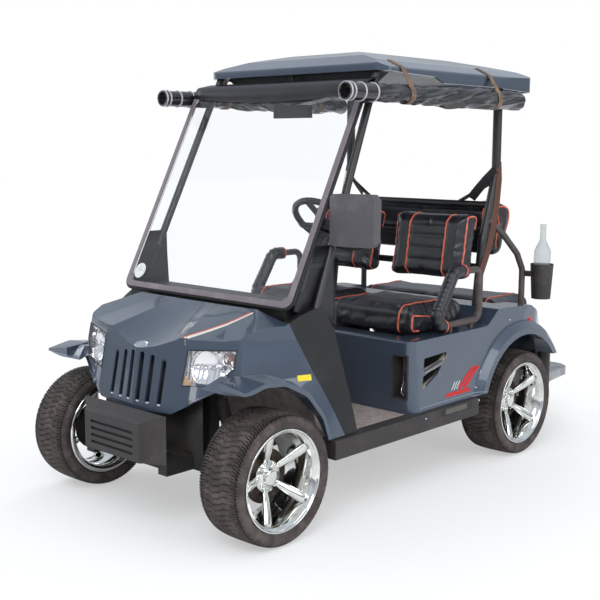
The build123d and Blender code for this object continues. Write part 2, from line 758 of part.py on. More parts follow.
def hip_restraints():
    loops = []
    for s in (1, -1):
        path = FilletPolyline(*[(x, s * LOOP_Y, z) for x, z in LOOP], radius=LOOP_BEND, close=True)
        loop = sweep(Plane(origin=path @ 0, z_dir=path % 0) * Circle(LOOP_R), path=path)
        for x in LOOP_FEET:
            loop += post(x, s * LOOP_Y, POD_Z, LOOP[0][1], 11)
        loops.append(loop)
    return loops


def hip_pads():
    """Thick sleeves round the lower bend, the slanted leg and the top corner of each loop."""
    return [tube([(x, s * LOOP_Y, z) for x, z in PAD], PAD_R, LOOP_BEND, LOOP_R + SEAT_GAP) for s in (1, -1)]


def grab_rails():
    return [tube([(-735, s * 460, 1122), (-800, s * 500, 1052), (-930, s * 500, 950), (-982, s * 500, 870),
                  (-982, s * 500, DECK_Z - 60)], 15, 40) - STRUTS - body_envelope(0) for s in (1, -1)]


def bottle_holder():
    cup = Pos(-1045, 572, 812) * Cone(46, 56, 170)
    cup -= Pos(-1045, 572, 822) * Cone(43, 53, 170)
    return cup + (box(-1010, -975, 500, 545, 838, 862) - RAILS[0] - Pos(-1045, 572, 822) * Cone(43, 53, 170))


def bottle():
    flask = post(-1045, 572, 737, 960, 40) + Pos(-1045, 572, 985) * Cone(40, 16, 50)
    return flask + post(-1045, 572, 1010, 1090, 15)


# ---- Roof, liner and rolled side curtains

ROOF_PLAN = [(152, 481, 40), (100, ROOF_Y, 60), (-640, ROOF_Y, 200), (-1000, 505, 60), (-1045, 440, 50)]
# x, drop below the crown, corner radius
ROOF_SIDE = [(158, 107, 0), (150, 78, 10), (60, 34, 60), (-90, 4, 200), (-650, 0, 300), (-900, 37, 200),
             (-1020, 87, 20), (-1052, 156, 0), (-640, 144, 0),
             (-270, 144, 20), (-200, 120, 20), (20, 112, 0)]
ROOF_FRONT = [(ROOF_Y + 2, 172, 0), (ROOF_Y - 6, 94, 14), (450, 60, 40), (210, 6, 300), (0, -6, 0)]
ROOF_IN_SIDE = [(140, 272, 0), (140, 97, 0), (50, 50, 0), (-90, 20, 0), (-650, 16, 0), (-900, 52, 0),
                (-1008, 100, 0), (-1035, 272, 0)]
ROOF_IN_FRONT = [(515, 272, 0), (508, 102, 0), (445, 74, 0), (200, 22, 0), (0, 14, 0)]
ROOF_SPAN = (ROOF_Z - 372, ROOF_Z + 78)


def from_crown(rows):
    """Heights from drops below the crown."""
    return [(a, ROOF_Z - drop, r) for a, drop, r in rows]


def roof_canopy():
    body = side_prism(from_crown(ROOF_SIDE), -600, 600)
    body &= plan_prism(symmetric(ROOF_PLAN), *ROOF_SPAN)
    body &= front_prism(upright(from_crown(ROOF_FRONT)), -1200, 300)
    return body - roof_inside()


def roof_inside():
    """The hollow under the crown."""
    inner = side_prism(from_crown(ROOF_IN_SIDE), -600, 600)
    inset = [(x - math.copysign(10, x + 400), y - 10, max(r - 8, 0)) for x, y, r in ROOF_PLAN]
    inner &= plan_prism(symmetric(inset), *ROOF_SPAN)
    return inner & front_prism(upright(from_crown(ROOF_IN_FRONT)), -1200, 300)


def roof_liner():
    """The dark lining: a flat tray under the crown and the console over the windshield."""
    tray = roof_inside() & box(-1100, 200, -600, 600, ROOF_TRAY, ROOF_TRAY + 12)
    low, lowest = ROOF_TRAY - 74, ROOF_TRAY - 124
    console = front_prism([(-440, ROOF_TRAY), (440, ROOF_TRAY),
                           (330, low), (0, lowest), (-330, low)], 15, 95)
    return tray + console


# x, radius of the rolled curtain along its length
ROLL = [(410, 0), (410, 34), (50, 38), (-400, 44), (-830, 42), (-830, 0)]
ROLL_Y = 540
ROLL_Z = ROOF_Z - 201
STRAPS = (26, -612)
STRAP_W = 30
STRAP_T = 2.5
BITE = 0.6
# The roof's side facet in (y, z), from its lower edge to the crown's crease
CREASE = ((519, ROOF_Z - 94), (450, ROOF_Z - 60))


def curtain_rolls():
    rolls = []
    for s in (1, -1):
        plane = Plane(origin=(0, s * ROLL_Y, ROLL_Z), x_dir=(1, 0, 0), z_dir=(0, -1, 0))
        rolls.append(revolve(outline(plane, ROLL), Axis((0, s * ROLL_Y, ROLL_Z), (1, 0, 0))))
    return rolls


def roll_radius(x):
    """The roll's radius at x, between the table's rows."""
    for (xa, ra), (xb, rb) in zip(ROLL[1:-2], ROLL[2:-1]):
        if xb <= x <= xa:
            return ra + (rb - ra) * (xa - x) / (xa - xb)


def tangent(y, z, radius):
    """Where a line from (y, z) touches the outer side of a circle round the roll."""
    dy, dz = y - ROLL_Y, z - ROLL_Z
    angle = math.atan2(dz, dy) - math.acos(radius / math.hypot(dy, dz))
    return (ROLL_Y + radius * math.cos(angle), ROLL_Z + radius * math.sin(angle))


def roll_straps():
    """A webbing loop round each roll, carried up over the roof's side crease."""
    (y0, z0), (y1, z1) = CREASE
    run = math.hypot(y1 - y0, z1 - z0)
    ny, nz = (z1 - z0) / run, (y0 - y1) / run
    near, far = SEAT_GAP, SEAT_GAP + STRAP_T
    loops = []
    for x in STRAPS:
        r = roll_radius(x)
        over = [(y0 + far * ny, z0 + far * nz), (y1 + far * ny, z1 + far * nz),
                (y1 + near * ny, z1 + near * nz), (y0 + near * ny, z0 + near * nz)]
        riser = [tangent(*over[3], r + near + BITE), tangent(*over[0], r + far - BITE)] + over
        for s in (1, -1):
            ring = Pos(x, s * ROLL_Y, ROLL_Z) * Rot(0, 90, 0) * (
                Cylinder(r + far, STRAP_W) - Cylinder(r + near, STRAP_W))
            ring += front_prism([(s * y, z) for y, z in riser], x - STRAP_W / 2, x + STRAP_W / 2)
            loops.append(ring)
    return loops


MIRROR_X = (428, 470)


def side_mirror():
    """The driver's mirror: a chamfered housing on a short arm from the strut."""
    y0, y1 = MIRROR_Y
    head = front_prism([(y0, 1092), (y0 + 20, 1082), (y1 - 22, 1086), (y1 - 4, 1104),
                        (y1, 1262), (y1 - 20, 1284),
                        (y0 + 14, 1282), (y0, 1270)], *MIRROR_X, 8)
    x, y = strut_at(1132)
    arm = box(x - 16, MIRROR_X[0], y + 2, 560, 1118, 1146)
    return head + (arm - strut_tube(1))


MIRROR_Y = (522, 742)


def cabin_mirror():
    """The inside mirror on a stem from the roof lining."""
    low, high = ROOF_TRAY - 184, ROOF_TRAY - 130
    return box(112, 136, -105, 105, low, high) + box(120, 130, -8, 8, high, ROOF_TRAY)


BODY = rear_body()
STRUTS = rear_struts()
RAILS = grab_rails()
save(front_cowl(), "front_cowl")
save(headlamps(), "headlamps")
save(pillar_covers(), "pillar_covers")
save(front_struts(), "front_struts")
save(windshield(4, 4 + GLASS_T, 26), "windshield_glass")
save(windshield_frame(), "windshield_frame")
save(dash_panel(), "dash_panel")
save(floor_pan(), "floor_pan")
save(rockers(), "rockers")
save(pedals(), "pedals")
save(steering_wheel(), "steering_wheel")
save(steering_column(), "steering_column")
save(front_bumper(), "front_bumper")
save(chassis_frame(), "chassis_frame")
save(battery_pack(), "battery_pack")
save(front_axle(), "front_axle")
save(front_shocks(), "front_shocks")
for side_name, side_sign in SIDES:
    save(knuckle(side_sign), f"knuckle_{side_name}")
save(tie_rod(), "tie_rod")
save(steering_box(), "steering_box")
save(rear_axle(), "rear_axle")
save(leaf_springs(), "leaf_springs")
save(rear_shocks(), "rear_shocks")
for end_name, end_x in (("front", FRONT_X), ("rear", REAR_X)):
    for side_name, side_sign in SIDES:
        save(tyre(end_x, side_sign), f"tyre_{end_name}_{side_name}")
        save(rim(end_x, side_sign), f"rim_{end_name}_{side_name}")
save(BODY, "rear_body")
save(recess_box(), "recess_box")
save(rear_bumper(), "rear_bumper")
save(foot_platform(), "foot_platform")
save(platform_arms(), "platform_arms")
save(tail_lamps(), "tail_lamps")
save(front_cushions(), "front_cushions")
save(front_backs(), "front_backs")
save(rear_cushion(), "rear_cushion")
save(rear_back(), "rear_back")
save(STRUTS, "rear_struts")
save(hip_restraints(), "hip_restraints")
save(hip_pads(), "hip_pads")
save(RAILS, "grab_rails")
save(bottle_holder(), "bottle_holder")
save(bottle(), "bottle")
save(roof_canopy(), "roof_canopy")
save(roof_liner(), "roof_liner")
save(curtain_rolls(), "curtain_rolls")
save(roll_straps(), "roll_straps")
save(side_mirror(), "side_mirror")
save(cabin_mirror(), "cabin_mirror")
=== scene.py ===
import bpy
import bmesh
import math
from mathutils import Matrix, Vector, noise
from mathutils.bvhtree import BVHTree


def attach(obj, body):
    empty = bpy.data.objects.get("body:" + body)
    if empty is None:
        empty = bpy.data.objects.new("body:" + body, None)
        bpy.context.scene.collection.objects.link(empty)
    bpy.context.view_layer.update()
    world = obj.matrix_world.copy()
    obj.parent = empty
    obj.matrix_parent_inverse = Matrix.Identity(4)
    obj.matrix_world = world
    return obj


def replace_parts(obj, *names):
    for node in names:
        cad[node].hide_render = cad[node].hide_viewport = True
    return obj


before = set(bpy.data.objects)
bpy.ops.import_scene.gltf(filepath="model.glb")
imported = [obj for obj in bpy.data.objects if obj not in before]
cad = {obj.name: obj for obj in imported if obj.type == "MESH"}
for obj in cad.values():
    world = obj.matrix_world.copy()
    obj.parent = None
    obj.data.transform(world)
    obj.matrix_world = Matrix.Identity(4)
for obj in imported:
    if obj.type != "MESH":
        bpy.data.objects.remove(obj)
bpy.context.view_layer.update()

# ---- Studio: a pale floor, a white sky and soft lamps
# The floor is seamless and pale. Big soft lamps stand in front and to the left of the cart,
# and the sky seen in reflections is darker low down, which gives the polished wheels something to reflect.

floor_mesh = bpy.data.meshes.new("studio_floor")
floor_mesh.from_pydata([(-30, -30, 0), (30, -30, 0), (30, 30, 0), (-30, 30, 0)], [], [(0, 1, 2, 3)])
studio_floor = bpy.data.objects.new("studio_floor", floor_mesh)
bpy.context.scene.collection.objects.link(studio_floor)


class Wire:
    """A shader socket. Sums, products and comparisons of wires add their Math nodes."""

    def __init__(self, tree, out=None):
        self.tree, self.out = tree, out

    def node(self, kind, inputs=(), out=0, stops=(), **settings):
        made = self.tree.nodes.new("ShaderNode" + kind)
        for key, value in settings.items():
            setattr(made, key, value)
        for i, (at, colour) in enumerate(stops):
            ramp = made.color_ramp.elements
            stop = ramp[i] if i < 2 else ramp.new(at)
            stop.position, stop.color = at, colour
        for key, value in dict(inputs).items():
            if isinstance(value, Wire):
                self.tree.links.new(value.out, made.inputs[key])
            else:
                made.inputs[key].default_value = value
        return Wire(self.tree, made.outputs[out])

    def math(self, operation, a, b=0.0):
        return self.node("Math", {0: a, 1: b}, operation=operation)

    def __add__(self, other):
        return self.math("ADD", self, other)

    def __radd__(self, other):
        return self.math("ADD", other, self)

    def __sub__(self, other):
        return self.math("SUBTRACT", self, other)

    def __rsub__(self, other):
        return self.math("SUBTRACT", other, self)

    def __mul__(self, other):
        return self.math("MULTIPLY", self, other)

    def __rmul__(self, other):
        return self.math("MULTIPLY", other, self)

    def __gt__(self, other):
        return self.math("GREATER_THAN", self, other)

    def __lt__(self, other):
        return self.math("LESS_THAN", self, other)

    def __abs__(self):
        return self.math("ABSOLUTE", self)

    def max(self, other):
        return self.math("MAXIMUM", self, other)

    def between(self, low, high):
        """0 below low, 1 above high, smooth from one to the other."""
        return self.node("MapRange", {0: self, 1: low, 2: high}, interpolation_type="SMOOTHSTEP")

    def blend(self, a, b):
        """The colour a where this wire is 0 and b where it is 1."""
        return self.node("Mix", {0: self, 6: a, 7: b}, out=2, data_type="RGBA")

    def axis(self, letter):
        return self.node("SeparateXYZ", {0: self}, out="XYZ".index(letter))

    def stretched(self, *scale):
        return self.node("VectorMath", {0: self, 1: scale}, operation="MULTIPLY")

    def noise(self, scale, detail=3.0, rough=0.5):
        return self.node("TexNoise", {"Vector": self, "Scale": scale, "Detail": detail, "Roughness": rough})

    def cells(self, scale, feature="F1"):
        return self.node("TexVoronoi", {"Vector": self, "Scale": scale}, feature=feature)

    def bump(self, strength, distance):
        return self.node("Bump", {"Height": self, "Strength": strength, "Distance": distance})


def rgb(red, green, blue):
    """A colour given in the 0 to 255 scale of paint charts, as the shader's linear one."""
    steps = [v / 255 for v in (red, green, blue)]
    return (*[v / 12.92 if v <= 0.04045 else ((v + 0.055) / 1.055) ** 2.4 for v in steps], 1.0)


class Finish:
    """A named material whose main shader takes plain values or wires.
    grain holds a fine noise bump's scale, detail, strength and distance."""

    def __init__(self, name, grain=None, **values):
        self.material = bpy.data.materials.new(name)
        self.material.use_nodes = True
        self.tree = self.material.node_tree
        self.shader = self.tree.nodes["Principled BSDF"]
        self.at = Wire(self.tree).node("TexCoord", out=3)
        self.set(**values)
        if grain:
            scale, detail, strength, distance = grain
            self.set(Normal=self.at.noise(scale, detail).bump(strength, distance))

    def set(self, **values):
        for key, value in values.items():
            socket = self.shader.inputs[key.replace("_", " ")]
            if isinstance(value, Wire):
                self.tree.links.new(value.out, socket)
            else:
                socket.default_value = value

    def on(self, *objects):
        for obj in objects:
            if not obj.material_slots:
                obj.data.materials.append(self.material)
            for place in obj.material_slots:
                place.material = self.material
        return objects[0]


floor_finish = Finish("studio_floor", Roughness=0.9, Specular_IOR_Level=0.1, Emission_Strength=1.0)
spread = floor_finish.at.stretched(0.5, 0.8, 0.0)
away = spread.node("VectorMath", {0: spread}, out=1, operation="LENGTH")
looked_at = floor_finish.at.node("LightPath", out="Is Camera Ray").max(
    floor_finish.at.node("LightPath", out="Is Transmission Ray"))
glow = looked_at * (0.45 + 0.55 * away.between(0.75, 1.5))
floor_finish.set(Base_Color=glow.blend((0.93, 0.93, 0.93, 1), (0, 0, 0, 1)),
                 Emission_Color=glow.blend((0, 0, 0, 1), (1, 1, 1, 1)))
floor_finish.on(studio_floor)

world = bpy.data.worlds.new("studio_sky")
bpy.context.scene.world = world
world.use_nodes = True
sky = Wire(world.node_tree)
path = {name: sky.node("LightPath", out=name) for name in
        ("Is Camera Ray", "Is Glossy Ray", "Is Transmission Ray")}
seen = path["Is Camera Ray"].max(path["Is Transmission Ray"])
height = sky.node("TexCoord", out=0).axis("Z")
overhead = height.between(-0.05, 0.9)
soft = overhead.blend((0.50, 0.52, 0.55, 1), (0.80, 0.84, 0.90, 1))
mirrored = height.between(0.0, 0.35).blend((0.30, 0.31, 0.33, 1), (0.62, 0.68, 0.76, 1))
lit = path["Is Glossy Ray"].blend(soft, mirrored)
sky_shader = world.node_tree.nodes["Background"]
world.node_tree.links.new(seen.blend(lit, (1, 1, 1, 1)).out, sky_shader.inputs["Color"])
sky_shader.inputs["Strength"].default_value = 1.0

# name, place, aim, size, watts
LAMPS = [
    ("key_lamp", (5.0, 3.5, 5.2), (0.2, 0, 0.7), 3.2, 190),
    ("left_lamp", (-0.5, 6.5, 3.2), (-0.2, 0, 0.8), 3.6, 110),
    ("back_lamp", (-5.5, -3.5, 4.2), (0, 0, 0.9), 3.0, 90),
    ("right_lamp", (1.5, -6.0, 3.0), (0, 0, 0.8), 3.0, 70),
]
for name, place, aim, size, watts in LAMPS:
    lamp = bpy.data.lights.new(name, "AREA")
    lamp.size, lamp.energy = size, watts
    holder = bpy.data.objects.new(name, lamp)
    bpy.context.scene.collection.objects.link(holder)
    holder.location = place
    holder.rotation_mode = "QUATERNION"
    holder.rotation_quaternion = (Vector(aim) - Vector(place)).to_track_quat("-Z", "Y")
    holder.visible_glossy = name != "back_lamp"

bpy.context.scene.view_settings.view_transform = "Standard"

# ---- Camera: at the front left of the cart, a little above the windshield's middle

CAMERA_PLACE = (3.484, 3.179, 1.4639)
YAW, PITCH, ROLL = math.radians(222.993), math.radians(-8.389), math.radians(0.235)
ahead = Vector((math.cos(YAW) * math.cos(PITCH), math.sin(YAW) * math.cos(PITCH), math.sin(PITCH)))
level = ahead.cross(Vector((0, 0, 1))).normalized()
above = level.cross(ahead)
right = level * math.cos(ROLL) + above * math.sin(ROLL)
upward = above * math.cos(ROLL) - level * math.sin(ROLL)
lens = bpy.data.cameras.new("camera")
lens.sensor_width, lens.lens = 36.0, 62.86
camera = bpy.data.objects.new("camera", lens)
bpy.context.scene.collection.objects.link(camera)
camera.matrix_world = Matrix.Translation(CAMERA_PLACE) @ Matrix((right, upward,
                                                                 -ahead)).transposed().to_4x4()
bpy.context.scene.camera = camera

# ---- Painted skins: front cowl, rear body and roof
# Moulded plastic panels in blue-grey metallic paint under clear lacquer, with fine flake,
# a little orange peel, and edges that are rounded as a mould leaves them.


def rounded(node, width, segments=3, angle=28):
    """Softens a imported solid's sharp edges with modifiers."""
    weld = node.modifiers.new("weld", "WELD")
    weld.merge_threshold = 1e-5
    edge = node.modifiers.new("edge", "BEVEL")
    edge.width, edge.segments, edge.limit_method = width, segments, "ANGLE"
    edge.angle_limit = math.radians(angle)
    edge.use_clamp_overlap = True
    normal = node.modifiers.new("normal", "WEIGHTED_NORMAL")
    normal.keep_sharp = False
    return node


PAINT = rgb(52, 64, 80)
PAINT_LIGHT = rgb(74, 88, 107)
paint = Finish("paint", Metallic=0.35, Coat_Roughness=0.04)
flake = paint.at.cells(1400).between(0.0, 0.9)
cloud = paint.at.noise(3.0, 2.0)
paint.set(Base_Color=(flake * 0.5 + cloud * 0.25).between(0.1, 0.9).blend(PAINT, PAINT_LIGHT))
# the walls of the grille slots are left matt: distance of each slot's middle from the cart's
offset, height = abs(paint.at.axis("Y")), paint.at.axis("Z")
SLOTS, SLOT_HALF = (0.028, 0.082, 0.144), 0.0124
in_slot = sum((abs(offset - y) < SLOT_HALF for y in SLOTS), 0.0 * offset)
matt = in_slot * (height > 0.478) * (height < 0.662) * (paint.at.axis("X") > 0.93)
paint.set(Roughness=0.32 + 0.10 * paint.at.noise(40.0) + 0.5 * matt, Coat_Weight=1.0 - matt)
paint.set(Normal=(paint.at.noise(900.0, 1.0) * 0.4 + paint.at.noise(60.0, 2.0)).bump(0.04, 0.002))
paint.on(cad["front_cowl"], cad["rear_body"], cad["roof_canopy"])
rounded(cad["front_cowl"], 0.004)
rounded(cad["rear_body"], 0.004)
rounded(cad["roof_canopy"], 0.004)

# ---- Dark trim: pillar covers, rockers, bumpers, liner, dash, recess box, bottle holder and mirror
# Warm dark grey moulded plastic with a fine leather-like grain, paler where it is scuffed.


def grained(name, dark, pale, rough, grain=700.0):
    made = Finish(name, Specular_IOR_Level=0.4)
    wear = made.at.noise(9.0, 5.0, 0.65).between(0.45, 0.75)
    made.set(Base_Color=wear.blend(dark, pale))
    made.set(Roughness=rough + 0.12 * wear)
    made.set(Normal=(made.at.cells(grain) + 0.5 * made.at.noise(grain * 2)).bump(0.25, 0.0004))
    return made


trim = grained("dark_trim", rgb(52, 48, 48), rgb(70, 65, 64), 0.55)
trim.on(cad["front_bumper"], cad["rear_bumper"], cad["rockers"], cad["recess_box"], cad["bottle_holder"])
grained("mirror_shell", rgb(82, 80, 84), rgb(102, 100, 104), 0.5).on(cad["side_mirror"])
cover = grained("black_cover", rgb(24, 24, 26), rgb(36, 36, 38), 0.38)
cover.on(cad["pillar_covers"], cad["dash_panel"], cad["roof_liner"], cad["steering_column"],
         cad["cabin_mirror"], cad["steering_wheel"])
for name, width in (("front_bumper", 0.006), ("rear_bumper", 0.006), ("rockers", 0.004),
                    ("side_mirror", 0.006),
                    ("pillar_covers", 0.003), ("dash_panel", 0.003), ("bottle_holder", 0.002)):
    rounded(cad[name], width)

# ---- Frame and struts: tubes and rails in black powder coat
# Steel tube and box section; the coat is satin with a slight peel, and the parts beneath are patchily dusty.

coat = Finish("black_coat", Base_Color=rgb(22, 22, 24), Coat_Weight=0.3, Coat_Roughness=0.3)
coat.set(Roughness=0.35 + 0.2 * coat.at.noise(14.0, 4.0))
coat.set(Normal=coat.at.noise(500.0, 2.0).bump(0.12, 0.0006))
coat.on(cad["front_struts"], cad["rear_struts"])
grained("rail_coat", rgb(76, 68, 65), rgb(98, 88, 83), 0.42).on(cad["grab_rails"], cad["hip_restraints"])
under = Finish("chassis_black")
dust = under.at.noise(7.0, 6.0, 0.6).between(0.4, 0.8)
under.set(Base_Color=dust.blend(rgb(20, 19, 19), rgb(58, 53, 48)), Roughness=0.6 + 0.25 * dust)
under.set(Normal=under.at.noise(260.0, 3.0).bump(0.2, 0.001))
under.on(*[cad[n] for n in ("chassis_frame", "front_axle", "front_shocks", "knuckle_left", "knuckle_right",
                            "tie_rod",
                            "steering_box", "rear_axle", "leaf_springs", "rear_shocks", "platform_arms",
                            "battery_pack", "pedals")])
mat = Finish("floor_mat")
rib = mat.at.axis("X").math("FRACT", mat.at.axis("X") * 60.0)
sand = mat.at.noise(30.0, 6.0, 0.7).between(0.35, 0.7)
mat.set(Base_Color=sand.blend(rgb(140, 128, 124), rgb(168, 156, 152)), Roughness=0.8)
mat.set(Normal=(rib.between(0.2, 0.5) + 0.6 * mat.at.noise(300.0)).bump(0.5, 0.002))
mat.on(cad["floor_pan"])

# ---- Windshield: a flat pane in a grey plastic frame
# Clear hard-coated acrylic. A grey-mauve frame clamps its edge, with a black rubber seal round the
# outside; a plain round pale sticker sits in the pane's lower right corner.


SIDES = (("left", 1), ("right", -1))


def joined(name, mesh_data, finish, body="chassis", place=None):
    """A new piece of the cart that rides on a body."""
    obj = bpy.data.objects.new(name, mesh_data)
    bpy.context.scene.collection.objects.link(obj)
    finish.on(obj)
    if place is not None:
        obj.matrix_world = place
    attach(obj, body)
    return obj


def skinned(name, rings, wrap=True, loop=False):
    """A mesh through rings of points: wrap closes each ring, loop joins the last ring to the first."""
    count = len(rings[0])
    faces = []
    for i in range(len(rings) if loop else len(rings) - 1):
        a, b = i * count, (i + 1) % len(rings) * count
        for j in range(count if wrap else count - 1):
            k = (j + 1) % count
            faces.append((a + j, a + k, b + k, b + j))
    made = bpy.data.meshes.new(name)
    made.from_pydata([p for ring in rings for p in ring], [], faces)
    if wrap and not loop:
        made = capped(made)
    made.shade_smooth()
    return made


def mesh_of(name, form, smooth=True):
    """Turns a form into a mesh and frees it."""
    made = bpy.data.meshes.new(name)
    form.to_mesh(made)
    form.free()
    if smooth:
        made.shade_smooth()
    return made


def capped(made):
    """Closes the open ends of a skinned mesh and turns its faces outward."""
    form = bmesh.new()
    form.from_mesh(made)
    bmesh.ops.holes_fill(form, edges=[e for e in form.edges if e.is_boundary], sides=0)
    bmesh.ops.recalc_face_normals(form, faces=form.faces)
    form.to_mesh(made)
    form.free()
    return made


def sheet_mesh(name, rows, thick=0.0):
    """A strip or patch of quads through rows of points, with a back face where it has a thickness."""
    form = bmesh.new()
    grid = [[form.verts.new(p) for p in row] for row in rows]
    for a, b in zip(grid, grid[1:]):
        for i in range(len(a) - 1):
            form.faces.new((a[i], a[i + 1], b[i + 1], b[i]))
    form.normal_update()
    if thick:
        bmesh.ops.solidify(form, geom=form.faces[:], thickness=thick)
        bmesh.ops.recalc_face_normals(form, faces=form.faces[:])
    return mesh_of(name, form)


def bead(name, points, radius, finish, body="chassis", closed=False):
    """A round cord or bar through points."""
    line = bpy.data.curves.new(name, "CURVE")
    line.dimensions = "3D"
    run = line.splines.new("POLY")
    run.points.add(len(points) - 1)
    for place, p in zip(run.points, points):
        place.co = (*p, 1)
    run.use_cyclic_u = closed
    line.bevel_depth, line.bevel_resolution = radius, 3
    line.use_fill_caps = True
    return joined(name, line, finish, body)


glass = Finish("windshield_glass", Base_Color=(0.95, 0.975, 0.98, 1), Roughness=0.01,
               Transmission_Weight=1.0, IOR=1.3)
glass.on(cad["windshield_glass"])
grained("windshield_frame", rgb(116, 107, 113), rgb(136, 127, 133), 0.42).on(cad["windshield_frame"])
rounded(cad["windshield_frame"], 0.003)
GLASS_FOOT, GLASS_HEAD, GLASS_Y = Vector((0.660, 0, 0.850)), Vector((0.222, 0, 1.706)), 0.500
GLASS_UP = (GLASS_HEAD - GLASS_FOOT).normalized()
GLASS_OUT = Vector((GLASS_UP.z, 0, -GLASS_UP.x))


def on_glass(across, up, out=0.0):
    """A point on the windshield's plane: across the cart, up the slope and out from it."""
    return GLASS_FOOT + GLASS_UP * up + GLASS_OUT * out + Vector((0, across, 0))


seal_rubber = Finish("seal_rubber", (400.0, 3.0, 0.2, 0.0005), Base_Color=rgb(16, 16, 17), Roughness=0.6)
PANE_LENGTH = (GLASS_HEAD - GLASS_FOOT).length
CORNER_R, CORNER_STEPS, SEAL_R = 0.040, 8, 0.043
side_y, head = GLASS_Y - CORNER_R, PANE_LENGTH - CORNER_R
seal = []
CORNERS = ((side_y, head, 0), (-side_y, head, 90), (-side_y, CORNER_R, 180), (side_y, CORNER_R, 270))
for cx, cy, start in CORNERS:
    for step in range(CORNER_STEPS + 1):
        a = math.radians(start + 90 * step / CORNER_STEPS)
        seal.append(on_glass(cx + SEAL_R * math.cos(a), cy + SEAL_R * math.sin(a), 0.002))
bead("windshield_seal", seal, 0.007, seal_rubber, closed=True)
disc = [[on_glass(-0.432 + r * math.cos(math.radians(t)), 0.075 + r * math.sin(math.radians(t)), 0.0108)
         for t in range(0, 361, 12)] for r in (0.0005, 0.024, 0.031, 0.035)]
sticker = Finish("pane_sticker", Roughness=0.45)
sticker.set(Base_Color=sticker.at.noise(70.0).between(0.45, 0.55).blend(rgb(225, 228, 226),
                                                                        rgb(214, 220, 216)))
joined("pane_sticker", sheet_mesh("pane_sticker", disc, 0.0003), sticker)

# A black vinyl band closes the gap from the pane's head to the roof, and a wing of the same vinyl
# fills the corner between the frame's foot and the strut on each side.
drape = Finish("black_drape", Coat_Weight=0.2, Coat_Roughness=0.2)
sag_and_shade = drape.at.stretched(1.0, 1.0, 3.0).noise(6.0, 3.0, 0.55)
# The colour follows the same noise as the folds' bump: painted shade in the hollows and painted highlight on
# the ridges
drape.set(Base_Color=sag_and_shade.between(0.35, 0.7).blend(rgb(12, 12, 16), rgb(28, 27, 31)),
          Roughness=0.38 + 0.2 * sag_and_shade)
drape.set(Normal=sag_and_shade.bump(0.3, 0.006))
BAND_HALF, BAND_STEPS = 0.504, 24
rows = [[], [], [], []]
for k in range(BAND_STEPS + 1):
    across = -BAND_HALF + 2 * BAND_HALF * k / BAND_STEPS
    hang = 0.074 - 0.030 * (across / 0.5) ** 2 + 0.003 * noise.noise(Vector((across * 14, 0, 0)))
    rows[0].append(on_glass(across, PANE_LENGTH - hang, 0.015))
    rows[1].append(on_glass(across, PANE_LENGTH - 0.012, 0.017))
    rows[2].append(Vector((0.224, across, 1.722)))
    rows[3].append(Vector((0.146, across, 1.738)))
joined("header_band", sheet_mesh("header_band", rows, 0.002), drape)
# x, z down the wing's front edge and down its rear edge
WING_FRONT = [(0.538, 1.083), (0.575, 1.005), (0.615, 0.925), (0.652, 0.846)]
WING_REAR = [(0.424, 1.083), (0.420, 0.980), (0.414, 0.870), (0.408, 0.765)]
WING_Y, WING_STEPS, WING_SLACK = 0.503, 8, 0.006
for side, s in SIDES:
    rows = []
    for (xa, za), (xb, zb) in zip(WING_FRONT, WING_REAR):
        row = []
        for k in range(WING_STEPS + 1):
            t = k / WING_STEPS
            x, z = xa + (xb - xa) * t, za + (zb - za) * t
            row.append(Vector((x, s * (WING_Y + WING_SLACK * noise.noise(Vector((x * 9, z * 9, s)))), z)))
        rows.append(row)
    joined(f"wind_wing_{side}", sheet_mesh("wind_wing", rows, 0.002), drape)

# ---- Headlamps: clear lenses over silvered bowls
# A clear plastic lens closes each housing. Behind it a silvered reflector has one large bowl with
# a bulb, a small bowl for the turn signal with a brown bulb, flutes between, and an amber corner.

LENS_OUT = Vector((0.9303, 0.3027, 0.2069)).normalized()
LENS_ACROSS = Vector((-LENS_OUT.y, LENS_OUT.x, 0)).normalized()
LENS_UP = LENS_OUT.cross(LENS_ACROSS)
LENS_MIDDLE = Vector((0.940, 0.340, 0.645))
LENS_EDGE = [(0.250, 0.705), (0.247, 0.572), (0.375, 0.584), (0.447, 0.655), (0.446, 0.720)]


def in_lens(y, z):
    """Where the lens plane's point at y and z lies, as (across, up)."""
    x = (LENS_OUT.dot(LENS_MIDDLE) - LENS_OUT.y * y - LENS_OUT.z * z) / LENS_OUT.x
    offset = Vector((x, y, z)) - LENS_MIDDLE
    return offset.dot(LENS_ACROSS), offset.dot(LENS_UP)


LENS_OUTLINE = [in_lens(y, z) for y, z in LENS_EDGE]
# centre y, z, radius, depth of each bowl behind the background's depth
BOWLS = [(0.333, 0.648, 0.066, 0.026), (0.418, 0.690, 0.030, 0.018), (0.410, 0.638, 0.026, 0.012)]
BOWL_MIDDLES = [(*in_lens(y, z), r, d) for y, z, r, d in BOWLS]


def inside(a, b, margin):
    """Whether a lens point lies within the outline by a margin."""
    count = len(LENS_OUTLINE)
    for i in range(count):
        (ax, ay), (bx, by) = LENS_OUTLINE[i], LENS_OUTLINE[(i + 1) % count]
        run = math.hypot(bx - ax, by - ay)
        if ((bx - ax) * (b - ay) - (by - ay) * (a - ax)) / run < margin:
            return False
    return True


def reflector_depth(a, b):
    depth = 0.016 + 0.0016 * math.sin(a * 420) + 0.0012 * noise.noise(Vector((a * 60, b * 60, 0)))
    for ca, cb, r, d in BOWL_MIDDLES:
        reach = math.hypot(a - ca, b - cb) / r
        if reach < 1:
            depth = max(depth, 0.018 + d * (1 - reach * reach) + 0.0012 * math.sin(a * 260) * (b < cb))
        elif reach < 1.12:
            depth = min(depth, 0.011)
    return depth


def add_ball(form, middle, radius, segments=20, rings=12, stretch=(1, 1, 1)):
    """Adds a ball to a form, stretched along the axes if asked."""
    place = Matrix.Translation(middle) @ Matrix.Diagonal((*stretch, 1))
    bmesh.ops.create_uvsphere(form, u_segments=segments, v_segments=rings, radius=radius, matrix=place)


